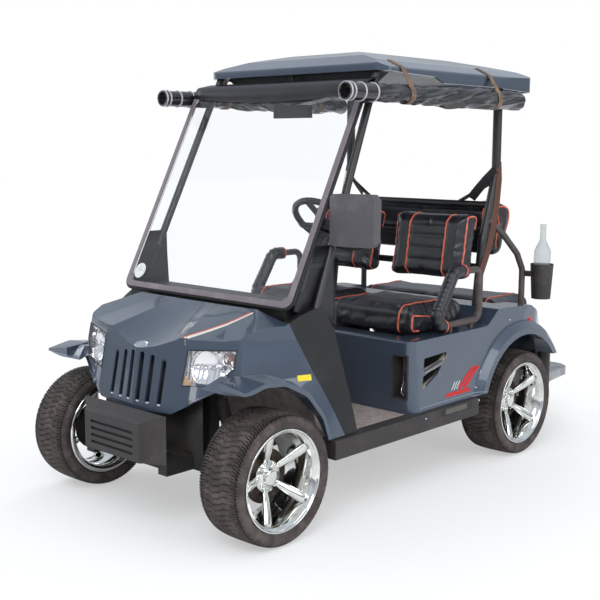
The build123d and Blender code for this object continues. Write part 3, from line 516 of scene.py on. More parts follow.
STEP, HALF_ACROSS, HALF_UP = 0.0022, 60, 45
silver = Finish("silvered_reflector", Base_Color=rgb(232, 230, 232), Metallic=1.0)
silver.set(Roughness=0.06 + 0.12 * silver.at.noise(120.0))
silver.set(Normal=(silver.at.noise(90.0, 2.0) + 0.4 * silver.at.cells(160.0)).bump(0.35, 0.002))
amber = Finish("amber_lens", (200.0, 3.0, 0.2, 0.001), Base_Color=rgb(206, 158, 104), Roughness=0.2,
               Transmission_Weight=0.3)
bulb_brown = Finish("bulb_tint", (200.0, 3.0, 0.1, 0.001), Base_Color=rgb(120, 66, 50), Roughness=0.15)
clear = Finish("lamp_lens", Base_Color=(0.97, 0.98, 1, 1), Roughness=0.03, Alpha=0.10, Coat_Weight=1.0)
clear.set(Coat_Roughness=0.02)
clear.on(cad["headlamps"])
# name, y and z of the middle, radius, depth behind the lens, finish
BULBS = [("main_bulb", (0.335, 0.650), 0.008, 0.026, silver),
         ("signal_bulb", (0.418, 0.690), 0.011, 0.022, bulb_brown)]
for side, s in SIDES:
    def placed(a, b, deep):
        p = LENS_MIDDLE + LENS_ACROSS * a + LENS_UP * b - LENS_OUT * deep
        return Vector((p.x, s * p.y, p.z))

    form = bmesh.new()
    grid = {}
    for i in range(-HALF_ACROSS, HALF_ACROSS + 1):
        for j in range(-HALF_UP, HALF_UP + 1):
            if inside(i * STEP, j * STEP, 0.002):
                grid[i, j] = form.verts.new(placed(i * STEP, j * STEP, reflector_depth(i * STEP, j * STEP)))
    for (i, j), corner in grid.items():
        ring = [grid.get(k) for k in ((i, j), (i + 1, j), (i + 1, j + 1), (i, j + 1))]
        if all(ring):
            form.faces.new(ring if s > 0 else ring[::-1])
    joined(f"lamp_reflector_{side}", mesh_of("reflector", form), silver)
    for name, (y, z), radius, deep, finish in BULBS:
        form = bmesh.new()
        add_ball(form, placed(*in_lens(y, z), deep), radius)
        joined(f"{name}_{side}", mesh_of(name, form), finish)
    corner = [in_lens(0.251, 0.576), in_lens(0.284, 0.579), in_lens(0.253, 0.612)]
    form = bmesh.new()
    wedge = [form.verts.new(placed(*c, deep)) for deep in (0.004, 0.012) for c in corner]
    for face in ((0, 1, 2), (5, 4, 3), (0, 3, 4, 1), (1, 4, 5, 2), (2, 5, 3, 0)):
        form.faces.new([wedge[i] for i in face])
    bmesh.ops.recalc_face_normals(form, faces=form.faces[:])
    joined(f"amber_corner_{side}", mesh_of("amber_corner", form, smooth=False), amber)
    gasket = [placed(a, b, -0.001) for a, b in LENS_OUTLINE]
    bead(f"lens_gasket_{side}", gasket, 0.0022, seal_rubber, closed=True)

# ---- Nose: grille backing, badge, pinstripes and sticker
# A dark sheet behind the slots is painted shade for the dark inside of the nose, and pale balls at
# their rounded feet are painted highlights of the sunlit lips. A blank oval badge sits in the hood's
# dip, and an orange-red and a cream pinstripe follow the hood's left crease.


def laid(name, start, end, width, target, finish, look=Vector((0, 0, -1)), lift=0.0006, steps=24,
         taper=1.0):
    """A thin film laid on a solid along a line, found by looking along a direction."""
    start, end = Vector(start), Vector(end)
    side = (end - start).cross(look).normalized()
    rows = []
    for k in range(steps + 1):
        t = k / steps
        middle = start.lerp(end, t)
        wide = width * (1 + (taper - 1) * t) / 2
        row = []
        for edge in (-1, -0.33, 0.33, 1):
            eye = middle + side * wide * edge - look * 0.25
            hit, spot, normal, _ = target.ray_cast(eye, look, distance=0.6)
            if hit:
                row.append(spot + normal * lift)
        if len(row) == 4:
            rows.append(row)
    return joined(name, sheet_mesh(name, rows), finish)


def circle(count):
    """Evenly spaced angles round a full turn."""
    return [2 * math.pi * k / count for k in range(count)]


def flat_film(name, colour, rough=0.4):
    film = Finish(name, Roughness=rough, Coat_Weight=0.15, Coat_Roughness=0.1, Specular_IOR_Level=0.25)
    wear = film.at.noise(40.0, 4.0, 0.6).between(0.35, 0.7)
    film.set(Base_Color=wear.blend(colour, tuple(0.86 * c for c in colour[:3]) + (1.0,)))
    return film


cowl = cad["front_cowl"]
stripe_red = flat_film("stripe_orange_red", rgb(200, 84, 56))
stripe_cream = flat_film("stripe_cream", rgb(226, 222, 212))
laid("pinstripe_red", (0.950, 0.209, 0.75), (0.715, 0.340, 0.84), 0.008, cowl, stripe_red)
laid("pinstripe_cream", (0.950, 0.2255, 0.75), (0.715, 0.3535, 0.84), 0.022, cowl, stripe_cream,
     taper=0.5)
BADGE_LONG, BADGE_WIDE, BADGE_STEPS = 0.036, 0.021, 48
# share of the badge's half size, and height above the hood
BADGE_RINGS = [(1.0, -0.001), (1.0, 0.003), (0.94, 0.0045), (0.86, 0.003), (0.80, 0.002), (0.4, 0.0026),
               (0.02, 0.0028)]
spot, up = cowl.ray_cast(Vector((0.975, 0, 0.95)), Vector((0, 0, -1)))[1:3]
long, wide = Vector((0, 1, 0)), up.cross(Vector((0, 1, 0))).normalized()
form = bmesh.new()
rings = []
for reach, rise in BADGE_RINGS:
    oval = [long * BADGE_LONG * math.cos(a) + wide * BADGE_WIDE * math.sin(a) for a in circle(BADGE_STEPS)]
    rings.append([form.verts.new(spot + p * reach + up * rise) for p in oval])
for inner, outer in zip(rings, rings[1:]):
    for k in range(BADGE_STEPS):
        form.faces.new((inner[k], inner[(k + 1) % BADGE_STEPS], outer[(k + 1) % BADGE_STEPS], outer[k]))
form.faces.new(rings[-1])
form.faces.new(rings[0][::-1])
bmesh.ops.recalc_face_normals(form, faces=form.faces[:])
badge_mesh = mesh_of("hood_badge", form)
badge = Finish("badge_chrome", Metallic=1.0, Roughness=0.12)
badge.set(Base_Color=badge.at.noise(90.0).blend(rgb(205, 208, 212), rgb(170, 176, 184)))
joined("hood_badge", badge_mesh, badge)

# A dark sheet behind the slots: painted shade standing in for the dark inside of the nose
slot_shade_finish = Finish("slot_shade_sheet", Base_Color=rgb(34, 37, 42), Roughness=0.7)
slot_shade_finish.set(Normal=slot_shade_finish.at.cells(260.0).bump(0.6, 0.002))
backing = [[Vector((x - 0.022, y, z)) for y in (-0.180, -0.178, -0.16, -0.09, 0, 0.09, 0.16, 0.178, 0.180)]
           for x, z in ((1.006, 0.466), (0.985, 0.58), (0.965, 0.69))]
BACKING_BOW, BACKING_TURN = 0.014, 0.027
for row in backing:
    for p in row:
        p.x -= BACKING_BOW * (abs(p.y) / 0.17) ** 2
    row[0].x += BACKING_TURN
    row[-1].x += BACKING_TURN
joined("slot_shade_sheet", sheet_mesh("slot_shade_sheet", backing, 0.003), slot_shade_finish)
FOOT_Z, FOOT_SIZE = 0.4845, (0.006, 0.0115, 0.0065)
feet = bmesh.new()
for y in (0.028, 0.082, 0.144):
    for s in (1, -1):
        spot = cowl.ray_cast(Vector((1.3, s * y, FOOT_Z - 0.008)), Vector((-1, 0, 0)))[1]
        add_ball(feet, (spot.x - 0.006, s * y, FOOT_Z), 1.0, stretch=FOOT_SIZE)
# The feet's pale colour is a painted highlight of the slots' sunlit lower lips
painted_glint = Finish("slot_foot_painted_highlight", (60.0, 3.0, 0.05, 0.001), Base_Color=rgb(176, 184, 198), Metallic=0.5,
               Roughness=0.18, Coat_Weight=1.0)
joined("slot_feet", mesh_of("slot_feet", feet), painted_glint)

yellow = flat_film("sticker_yellow", rgb(240, 216, 40))
laid("side_sticker_left", (0.6555, 0.56, 0.592), (0.594, 0.56, 0.590), 0.022, cowl, yellow,
     look=Vector((0, -1, 0)), steps=10)

# ---- Pod graphic and side reflectors
# Plain slanted bars in red and pale film are stuck on the pod's left side, and a small red
# reflector sits on each side behind the rear wheel.

pod = cad["rear_body"]
decal_red = flat_film("decal_red", rgb(204, 18, 26))
decal_pale = flat_film("decal_pale", rgb(196, 202, 206))
# start x, z, end x, z and width of each red bar
FLASH = [(-0.222, 0.384, -0.405, 0.384, 0.017), (-0.318, 0.398, -0.410, 0.470, 0.020),
         (-0.358, 0.398, -0.450, 0.470, 0.020), (-0.410, 0.474, -0.474, 0.474, 0.017)]
for k, (xa, za, xb, zb, width) in enumerate(FLASH):
    laid(f"pod_flash_{k}", (xa, 0.62, za), (xb, 0.62, zb), width, pod, decal_red,
         look=Vector((0, -1, 0)))
for k in range(3):
    laid(f"pod_bar_{k}", (-0.262 - 0.019 * k, 0.62, 0.402), (-0.288 - 0.019 * k, 0.62, 0.436), 0.007, pod,
         decal_pale,
         look=Vector((0, -1, 0)))
reflector = flat_film("side_reflector", rgb(214, 24, 28), 0.15)
for side, s in SIDES:
    laid(f"side_reflector_{side}", (-0.905, 0.66 * s, 0.640), (-0.940, 0.66 * s, 0.640), 0.018, pod,
         reflector,
         look=Vector((0, -s, 0)), steps=6)

# ---- Louvre slats
# A pale slat lies along the lower edge of each of the pod's two louvres, on both sides, and turns
# in behind the panel.

slat = grained("louvre_slat", rgb(140, 130, 122), rgb(164, 154, 146), 0.4)
# distance from the cart's middle and rise of each row across a slat
SLAT_ROWS = ((0.5975, 0.0), (0.5965, 0.005), (0.584, 0.013), (0.572, 0.015))
# x, z along each opening's lower edge
for k, edge in enumerate(([(-0.068, 0.508), (-0.130, 0.516), (-0.184, 0.528), (-0.225, 0.560)],
                          [(-0.050, 0.438), (-0.105, 0.450), (-0.152, 0.466), (-0.185, 0.490)])):
    for side, s in SIDES:
        rows = [[Vector((x, s * y, z + rise)) for x, z in edge]
                for y, rise in SLAT_ROWS]
        joined(f"louvre_slat_{side}_{k}", sheet_mesh("louvre_slat", rows, 0.003), slat)

# ---- Sill and pod trim
# A blank plate is stuck on each sill. Domed bolts hold the panels, a pale line along the pod's foot is a
# painted highlight of its rolled flange, and a bent wire hook stands in the locker.

plate = flat_film("sill_plate", rgb(40, 37, 36), 0.5)
plate_face = flat_film("sill_plate_face", rgb(92, 88, 82), 0.5)
# The pale flange line is a painted highlight along the pod's rolled foot
flange_highlight = flat_film("pod_flange_highlight", rgb(122, 134, 148), 0.3)
sill = cad["rockers"]
# x, z of each bolt and the panel that it holds
BOLTS = [(-0.0445, 0.3193, sill), (-0.447, 0.328, sill), (-0.4511, 0.383, pod), (-0.7333, 0.6582, pod)]
for side, s in SIDES:
    aside, inward = 0.70 * s, Vector((0, -s, 0))
    laid(f"sill_plate_{side}", (-0.161, aside, 0.321), (-0.392, aside, 0.321), 0.036, sill, plate,
         look=inward, lift=0.0012)
    laid(f"sill_plate_face_{side}", (-0.190, aside, 0.321), (-0.350, aside, 0.321), 0.024, sill, plate_face,
         look=inward, lift=0.0018)
    laid(f"pod_flange_highlight_{side}", (-0.010, aside, 0.362), (-0.500, aside, 0.362), 0.0045, pod, flange_highlight,
         look=inward)
    bolts = bmesh.new()
    for x, z, target in BOLTS:
        add_ball(bolts, target.ray_cast(Vector((x, aside, z)), inward)[1], 0.0052, 12, 8)
    joined(f"panel_bolts_{side}", mesh_of("panel_bolts", bolts), badge)
bead("locker_hook", [(0.012, 0.546, 0.512), (-0.002, 0.536, 0.492), (-0.008, 0.528, 0.466),
                     (-0.004, 0.522, 0.444),
                     (0.008, 0.530, 0.424), (0.010, 0.544, 0.414)], 0.0042, badge)

# ---- Splash sheet
# A black plastic sheet closes the front behind the bumper, clear of the steered wheels.

SPLASH_X, SPLASH_HALF, SPLASH_BOW = 0.930, 0.30, 0.020
# height of each row at the middle, and its rise at the ends
SPLASH_ROWS = ((0.245, 0), (0.32, 0), (0.40, 0), (0.468, 0.05))
splash = [[Vector((SPLASH_X + SPLASH_BOW * (1 - abs(y) / SPLASH_HALF), y, z + rise * (y / SPLASH_HALF) ** 2))
           for y in (-SPLASH_HALF, -0.2, -0.1, 0, 0.1, 0.2, SPLASH_HALF)] for z, rise in SPLASH_ROWS]
joined("splash_sheet", sheet_mesh("splash_sheet", splash, 0.003), under)

# ---- Lamp skirts
# The painted panel carries on below each lamp, down to a lip that slants out to the fender.

# y, z of the lip
LIP = [(0.286, 0.5025), (0.330, 0.528), (0.365, 0.548), (0.400, 0.567), (0.430, 0.580),
       (0.452, 0.586)]
SKIRT_TOP = 0.588
for side, s in SIDES:
    rows = [[], [], [], []]
    for y, z in LIP:
        top = max(SKIRT_TOP, z + 0.013)
        for row, (height_at, outward) in zip(rows, ((top, -0.001), (z + 0.010, -0.001), (z + 0.003, 0.003),
                                                    (z, 0.010))):
            x = (LENS_OUT.dot(LENS_MIDDLE) - LENS_OUT.y * y - LENS_OUT.z * height_at) / LENS_OUT.x + outward
            row.append(Vector((x, s * y, height_at)))
    joined(f"lamp_skirt_{side}", sheet_mesh("lamp_skirt", rows, 0.004), paint)

# ---- Rolled side curtains and their straps
# Clear-and-black vinyl curtains rolled up along both roof edges. The rolls are slack, so long
# creases wind round them; pale hoops stand near the front ends, and woven straps hold them up.

ROLL_ROWS = [(0.410, 0.034), (0.050, 0.038), (-0.400, 0.044), (-0.830, 0.042)]
ROLL_Y, ROLL_Z = 0.540, 1.671


def roll_radius(x):
    for (xa, ra), (xb, rb) in zip(ROLL_ROWS, ROLL_ROWS[1:]):
        if x >= xb:
            return ra + (rb - ra) * (xa - x) / (xa - xb)
    return rb


def roll_point(x, turn, s, seed):
    """A point of the slack roll: the creases die out under the hoops, the straps and at the ends."""
    hold = 1.0
    for strap in (0.026, -0.612):
        hold *= 1 - math.exp(-((x - strap) / 0.035) ** 2)
    hold *= min(1.0, max(0.0, (0.26 - x) / 0.10)) * min(1.0, max(0.25, (x + 0.83) / 0.05))
    wind = turn + 5.0 * x
    folds = noise.noise(Vector((x * 4.5, 1.8 * math.cos(wind), 1.8 * math.sin(wind) + seed)))
    fine = noise.noise(Vector((x * 24 + seed, 3 * math.cos(wind * 2), 3 * math.sin(wind * 2))))
    ridge = 1 - abs(noise.noise(Vector((x * 6 + seed, 1.5 * math.cos(wind), 1.5 * math.sin(wind))))) * 3.2
    r = roll_radius(x) + hold * (0.009 * folds + 0.0008 * fine + 0.006 * max(ridge, -0.6) - 0.004)
    lap = (turn + 0.4) % (2 * math.pi) / (2 * math.pi)
    r += 0.0022 * (lap - 0.5) * (0.4 + 0.6 * hold)
    return Vector((x, s * (ROLL_Y + r * math.cos(turn)), ROLL_Z + r * math.sin(turn)))


def ring_at(x, r, s, count=96):
    return [Vector((x, s * (ROLL_Y + r * math.cos(a)), ROLL_Z + r * math.sin(a))) for a in circle(count)]


curtain = Finish("curtain_vinyl", Coat_Weight=0.55, Coat_Roughness=0.14)
tint = curtain.at.stretched(1.0, 3.0, 3.0).noise(7.0, 4.0, 0.6)
curtain.set(Base_Color=tint.between(0.35, 0.7).blend(rgb(15, 14, 17), rgb(36, 32, 34)))
curtain.set(Roughness=0.18 + 0.2 * tint, Normal=curtain.at.noise(16.0, 3.0).bump(0.25, 0.004))
hoop = Finish("curtain_hoop", (90.0, 3.0, 0.15, 0.001), Base_Color=rgb(176, 172, 178), Roughness=0.35,
              Coat_Weight=0.3)
HOOPS = (0.402, 0.381, 0.320, 0.245)
ROLL_FRONT, ROLL_BACK, ROLL_STEPS, ROLL_SIDES = 0.402, -0.826, 248, 96
# x, radius of the rolled ends, which show the turns of the sheet
FRONT_END = [(0.340, 0.001), (0.340, 0.024), (0.404, 0.026), (0.409, 0.028), (0.410, 0.031), (0.406, 0.0335)]
BACK_END = [(-0.829, 0.036), (-0.822, 0.032), (-0.828, 0.027), (-0.820, 0.022), (-0.827, 0.017),
            (-0.818, 0.011), (-0.824, 0.002)]
for side, s in SIDES:
    rows = [ring_at(x, r, s) for x, r in FRONT_END]
    for i in range(ROLL_STEPS + 1):
        x = ROLL_FRONT - i * (ROLL_FRONT - ROLL_BACK) / ROLL_STEPS
        rows.append([roll_point(x, a, s, 3.0 if s > 0 else 8.0) for a in circle(ROLL_SIDES)])
    rows += [ring_at(x, r, s) for x, r in BACK_END]
    roll = joined(f"rolled_curtain_{side}", skinned("roll", rows), curtain)
    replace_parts(roll, "curtain_rolls")
    for k, x in enumerate(HOOPS):
        centre = roll_radius(x) + 0.0008
        band = [ring_at(x + 0.0045 * math.cos(a), centre + 0.0028 * math.sin(a), s, 64)
                for a in circle(12)]
        joined(f"curtain_hoop_{side}_{k}", skinned("curtain_hoop", band, loop=True), hoop)
webbing = Finish("strap_webbing", Roughness=0.9)
weave = webbing.at.axis("X").math("SINE", webbing.at.axis("X") * 2600.0) + webbing.at.axis("Z").math(
    "SINE", webbing.at.axis("Z") * 2600.0)
fade = webbing.at.noise(22.0, 4.0).between(0.3, 0.7)
webbing.set(Base_Color=fade.blend(rgb(140, 116, 98), rgb(104, 84, 72)), Normal=weave.bump(0.35, 0.0006))
webbing.on(cad["roll_straps"])

# ---- Lamps, platform and bottle at the rear
# Red moulded tail lamp lenses, a diamond-pattern aluminium foot platform and a plastic sand bottle.

tail = Finish("tail_lamp_lens", Roughness=0.12, Coat_Weight=1.0, Coat_Roughness=0.03)
facet_and_shade = tail.at.cells(160.0)
# The red follows the facets' bump: painted shade darkens each facet's hollow and a painted highlight
# lightens its rim
tail.set(Base_Color=facet_and_shade.between(0.0, 0.8).blend(rgb(150, 12, 14), rgb(205, 26, 26)),
         Normal=facet_and_shade.bump(0.5, 0.002))
tail.on(cad["tail_lamps"])
alloy = Finish("tread_plate", Metallic=0.9)
smudge = alloy.at.noise(11.0, 5.0, 0.6)
alloy.set(Base_Color=smudge.between(0.3, 0.75).blend(rgb(178, 178, 181), rgb(138, 137, 138)))
alloy.set(Roughness=0.28 + 0.3 * smudge)
alloy.on(cad["foot_platform"])
milky = Finish("bottle_plastic", (40.0, 3.0, 0.1, 0.002), Base_Color=rgb(214, 220, 222), Roughness=0.28,
               Transmission_Weight=0.75, IOR=1.2)
milky.on(cad["bottle"])

# ---- Tyres: four low road tyres
# Black rubber moulded in one piece. Close wavy cross grooves run over the tread and out through
# the shoulders, with a shallow groove round it; the sidewall carries fine moulded rings.


def around(offset, radius, steps):
    """A ring about the wheel's axis, which is Y."""
    return [(radius * math.cos(a), offset, radius * math.sin(a)) for a in circle(steps)]


# offset from the middle plane and radius, from the bead out to the shoulder
SIDEWALL = [(0.088, 0.1786), (0.0905, 0.190), (0.094, 0.1965), (0.0995, 0.2015), (0.1005, 0.2045),
            (0.1035, 0.208),
            (0.1055, 0.214), (0.1068, 0.221), (0.1056, 0.229), (0.1030, 0.2345), (0.0995, 0.2395), (0.0955,
                                                                                                    0.2435)]
TREAD_EDGE, TREAD_STEP, TREAD_REACH = 0.091, 0.0042, 0.098
TYRE_R, CROWN, SHOULDER_R = 0.250, 0.0042, 0.2335
PITCHES, PITCH_STEPS = 66, 9
GROOVE, RING_GROOVE = 0.0052, 0.0022
# place across the tread from the inner shoulder, and how far the cross groove leads there, in pitches
WAVE = [(-0.55, 0.35), (-0.42, -0.1), (-0.30, 0.15), (-0.24, -0.05), (-0.12, 0.5), (0.02, 0.25),
        (0.16, -0.25),
        (0.28, -0.35), (0.40, 0.05), (0.55, 0.6)]


def wave_lead(u):
    """The cross groove's smooth path through the table."""
    for (ua, la), (ub, lb) in zip(WAVE, WAVE[1:]):
        if u <= ub:
            t = (u - ua) / (ub - ua)
            return la + (lb - la) * t * t * (3 - 2 * t)
    return WAVE[-1][1]


def tread_drop(offset, angle):
    """How far the tread's surface lies under its crown."""
    u = offset / (2 * TREAD_EDGE)
    across = (angle * PITCHES / (2 * math.pi) + wave_lead(u)) % 1
    cross = GROOVE if across < 0.24 or (abs(u) > 0.34 and 0.5 < across < 0.7) else 0.0
    ring = RING_GROOVE if abs(u + 0.27) < 0.02 else 0.0
    return max(cross, ring)


tyre_rings = []
tread = [TREAD_EDGE - k * TREAD_STEP for k in range(round(2 * TREAD_EDGE / TREAD_STEP) + 1)]
rows = SIDEWALL + [(o, TYRE_R - CROWN * abs(o / TREAD_EDGE) ** 4) for o in tread]
rows += [(-o, r) for o, r in reversed(SIDEWALL)]
steps = PITCHES * PITCH_STEPS
for offset, radius in rows:
    ring = around(offset, radius, steps)
    if radius > SHOULDER_R:
        depth = 1.0 if abs(offset) < 0.1 else 0.5
        place = max(min(offset, TREAD_REACH), -TREAD_REACH)
        shrink = [1 - depth * tread_drop(place, a) / radius for a in circle(steps)]
        ring = [(x * f, y, z * f) for (x, y, z), f in zip(ring, shrink)]
    tyre_rings.append(ring)
tyre_mesh = skinned("tyre", tyre_rings, loop=True)

rubber = Finish("tyre", Specular_IOR_Level=0.3)
worn = rubber.at.noise(22.0, 5.0, 0.65).between(0.35, 0.75)
across, up = rubber.at.axis("X"), rubber.at.axis("Z")
span = across * across + up * up
# Below the tread's surface, in the grooves and at the sidewall's foot by the rim, the rubber is painted near
# black: painted shade in the recesses
groove_shade = (1 - span.between(0.2425 ** 2, 0.2470 ** 2)) * (abs(rubber.at.axis("Y")) < 0.094)
rubber.set(Base_Color=groove_shade.blend(worn.blend(rgb(62, 55, 53), rgb(98, 89, 86)), rgb(16, 14, 14)))
rubber.set(Roughness=0.72 + 0.18 * worn)
rubber.set(Normal=rubber.at.noise(420.0, 3.0).bump(0.25, 0.0008))

AXLE_X, WHEEL_Y = 0.8235, 0.528
WHEELS = {f"{end}_{side}": (x, WHEEL_Y * s) for end, x in (("front", AXLE_X), ("rear", -AXLE_X)) for side,
          s in SIDES}


def at_wheel(piece, mesh_data, finish, wheel):
    """A wheel piece, made with its outer face towards +Y, set at a wheel and turned for the right side."""
    x, y = WHEELS[wheel]
    half_turn = Matrix.Rotation(0 if y > 0 else math.pi, 4, "Z")
    place = Matrix.Translation((x, y, TYRE_R)) @ half_turn
    return joined(f"{piece}_{wheel}", mesh_data, finish, f"wheel_{wheel}", place)


for wheel in WHEELS:
    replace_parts(at_wheel("road_tyre", tyre_mesh, rubber, wheel), f"tyre_{wheel}")

# ---- Rims: deep five-spoke alloys
# Polished cast alloy. Round-backed spokes taper in to the hub from a deep dish with a rolled lip;
# a domed cap and four lug nuts sit in the middle, and the brown brake drum shows behind.

BARREL = [(-0.090, 0.1778), (0.0895, 0.1778), (0.0905, 0.193), (0.093, 0.195), (0.0965, 0.195),
          (0.098, 0.1935),
          (0.098, 0.1905), (0.0965, 0.1885), (0.091, 0.1865), (0.084, 0.1815), (0.060, 0.1725), (0.030,
                                                                                                 0.1635),
          (0.004, 0.157), (-0.030, 0.156), (-0.088, 0.166), (-0.098, 0.178), (-0.098, 0.195), (-0.090,
                                                                                               0.195)]
SPOKES, SPOKE_TURN = 5, -2
# distance from the axis, offset of the middle, half width, half thickness
SPOKE = [(0.036, 0.006, 0.013, 0.006), (0.052, 0.011, 0.013, 0.009), (0.078, 0.024, 0.0155, 0.0125),
         (0.108, 0.039, 0.0185, 0.014), (0.138, 0.053, 0.0205, 0.0135), (0.162, 0.065, 0.020, 0.011),
         (0.179, 0.074, 0.016, 0.006)]
rim_form = bmesh.new()
rim_form.from_mesh(skinned("barrel", [around(o, r, 120) for o, r in BARREL], loop=True))
for k in range(SPOKES):
    turn = Matrix.Rotation(math.radians(360 / SPOKES * k + SPOKE_TURN), 3, "Y")
    rings = []
    for reach, offset, wide, thick in SPOKE:
        ring = []
        for a in circle(20):
            c, s = math.cos(a), math.sin(a)
            rise = thick * math.copysign(abs(s) ** 0.85, s)
            ring.append(turn @ Vector((reach, offset + rise, wide * math.copysign(abs(c) ** 0.9, c))))
        rings.append(ring)
    rim_form.from_mesh(skinned("spoke", rings))
rim_mesh = mesh_of("rim", rim_form)


def turned(name, rows, steps=64):
    """A closed piece turned about the wheel's axis; rows hold offset and radius, from back to front."""
    return skinned(name, [around(o, r, steps) for o, r in rows])


hub_mesh = turned("hub", [(0.002, 0.063), (0.010, 0.063), (0.0145, 0.059), (0.016, 0.034), (0.018, 0.0315),
                          (0.030, 0.0305), (0.033, 0.0285), (0.0345, 0.024), (0.036, 0.014), (0.0365,
                                                                                              0.002)])
NUTS, NUT_CIRCLE = 4, 0.0508
# offset and radius up a nut; its flats end where the dome begins
NUT = [(0.013, 0.0105), (0.016, 0.0105), (0.017, 0.0095), (0.028, 0.0092), (0.031, 0.007), (0.0325, 0.002)]
nuts = bmesh.new()
for k in range(NUTS):
    a = math.radians(45 + 360 / NUTS * k)
    nut = skinned("nut", [around(o, r, 6 if r > 0.0093 else 12)[:6] for o, r in NUT])
    nut.transform(Matrix.Translation((NUT_CIRCLE * math.cos(a), 0, NUT_CIRCLE * math.sin(a))))
    nuts.from_mesh(nut)
nut_mesh = mesh_of("lug_nuts", nuts)
drum_mesh = turned("drum", [(-0.006, 0.104), (-0.001, 0.104), (0.000, 0.098), (0.003, 0.096),
                            (0.0035, 0.080),
                            (0.004, 0.078), (0.0045, 0.060), (0.005, 0.020), (0.005, 0.004)])

polished = Finish("polished_alloy", Metallic=1.0)
smear = polished.at.noise(18.0, 5.0, 0.6).between(0.3, 0.8)
polished.set(Base_Color=smear.blend(rgb(232, 232, 228), rgb(205, 205, 200)), Roughness=0.05 + 0.12 * smear)
iron = Finish("brake_drum", (200.0, 4.0, 0.3, 0.001), Metallic=0.6)
rust = iron.at.noise(30.0, 6.0, 0.7).between(0.3, 0.7)
iron.set(Base_Color=rust.blend(rgb(78, 68, 60), rgb(48, 38, 32)), Roughness=0.5 + 0.3 * rust)
for wheel in WHEELS:
    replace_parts(at_wheel("alloy_rim", rim_mesh, polished, wheel), f"rim_{wheel}")
    at_wheel("hub_cap", hub_mesh, polished, wheel)
    at_wheel("lug_nuts", nut_mesh, polished, wheel)
    at_wheel("brake_drum", drum_mesh, iron, wheel)

# ---- Seat cushions and backs
# Foam pads under black vinyl, sewn in panels: flat orange-red piping stands along the seams, the
# middle of each back has cross channels, and the outer ends pucker where the cover is drawn in.


STIFFNESS, CLOTH_FRAMES = 12.0, 14


def foam(name, low, high, corner, cell, pressure, most, hold):
    """A pad blown up from a rounded block by cloth pressure; hold says which points stay."""
    form = bmesh.new()
    bmesh.ops.create_cube(form, size=1.0)
    centre, span = (Vector(low) + Vector(high)) / 2, Vector(high) - Vector(low)
    for v in form.verts:
        v.co = Vector([c + s * p for c, s, p in zip(centre, span, v.co)])
    bmesh.ops.bevel(form, geom=form.edges[:], offset=corner, segments=4, profile=0.5, affect="EDGES")
    pad = bpy.data.objects.new(name, mesh_of(name, form, smooth=False))
    bpy.context.scene.collection.objects.link(pad)
    remesh = pad.modifiers.new("remesh", "REMESH")
    remesh.mode, remesh.voxel_size = "VOXEL", cell
    apply_all(pad)
    held = pad.vertex_groups.new(name="held")
    held.add([v.index for v in pad.data.vertices if hold(v.co)], 1.0, "REPLACE")
    start = [v.co.copy() for v in pad.data.vertices]
    cloth = pad.modifiers.new("cloth", "CLOTH")
    cloth.settings.use_pressure = True
    cloth.settings.uniform_pressure_force = pressure
    cloth.settings.effector_weights.gravity = 0.0
    cloth.settings.vertex_group_mass = "held"
    cloth.settings.tension_stiffness = cloth.settings.compression_stiffness = STIFFNESS
    for step in range(1, CLOTH_FRAMES + 1):
        bpy.context.scene.frame_set(step)
    apply_all(pad)
    bpy.context.scene.frame_set(1)
    for v, old in zip(pad.data.vertices, start):
        moved = v.co - old
        if moved.length > most:
            v.co = old + moved.normalized() * most
    return pad


def apply_all(obj):
    """Makes the modifiers' result the piece's own mesh."""
    graph = bpy.context.evaluated_depsgraph_get()
    result = bpy.data.meshes.new_from_object(obj.evaluated_get(graph))
    obj.modifiers.clear()
    obj.data = result


def rippled(pad, change):
    """Moves each point of a pad along its normal by change(point, normal)."""
    for v, normal in [(v, v.normal.copy()) for v in pad.data.vertices]:
        v.co = v.co + normal * change(v.co, normal)


def groove(distance, width, depth):
    """A sewn line's dip at a distance from it."""
    return -depth * math.exp(-(distance / width) ** 2)


def upholstered(pad, name, body, node):
    """Eases a shaped pad, dresses it in vinyl and puts it in its plain solid's place."""
    ease = pad.modifiers.new("ease", "SMOOTH")
    ease.iterations, ease.factor = 1, 0.4
    fine = pad.modifiers.new("fine", "SUBSURF")
    fine.levels = fine.render_levels = 1
    pad.data.shade_smooth()
    pad.name = name
    vinyl.on(pad)
    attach(pad, body)
    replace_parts(pad, node)


def mirrored(pad):
    """The same pad for the right side."""
    twin = pad.data.copy()
    for v in twin.vertices:
        v.co.y = -v.co.y
    twin.flip_normals()
    other = bpy.data.objects.new("twin", twin)
    bpy.context.scene.collection.objects.link(other)
    return other


def seam_line(pad, centre, start, end, steps=40, lift=0.0012):
    """Points on a pad's surface fore and aft round a centre, from one angle to another."""
    tree = BVHTree.FromObject(pad, bpy.context.evaluated_depsgraph_get())
    points = []
    for k in range(steps + 1):
        a = math.radians(start + (end - start) * k / steps)
        aim = Vector((math.cos(a), 0, math.sin(a)))
        hit = tree.ray_cast(Vector(centre) + aim * 1.5, -aim)[0]
        if hit is not None:
            points.append(hit + aim * lift)
    return points


def end_seams(pad, inset):
    """Where the lines just inside a pad's two ends lie across the cart."""
    across = [v.co.y for v in pad.data.vertices]
    return min(across) + inset, max(across) - inset


vinyl = Finish("black_vinyl", Coat_Weight=0.25, Coat_Roughness=0.25)
crease_and_shade = vinyl.at.noise(11.0, 4.0, 0.6)
grain = vinyl.at.cells(520.0)
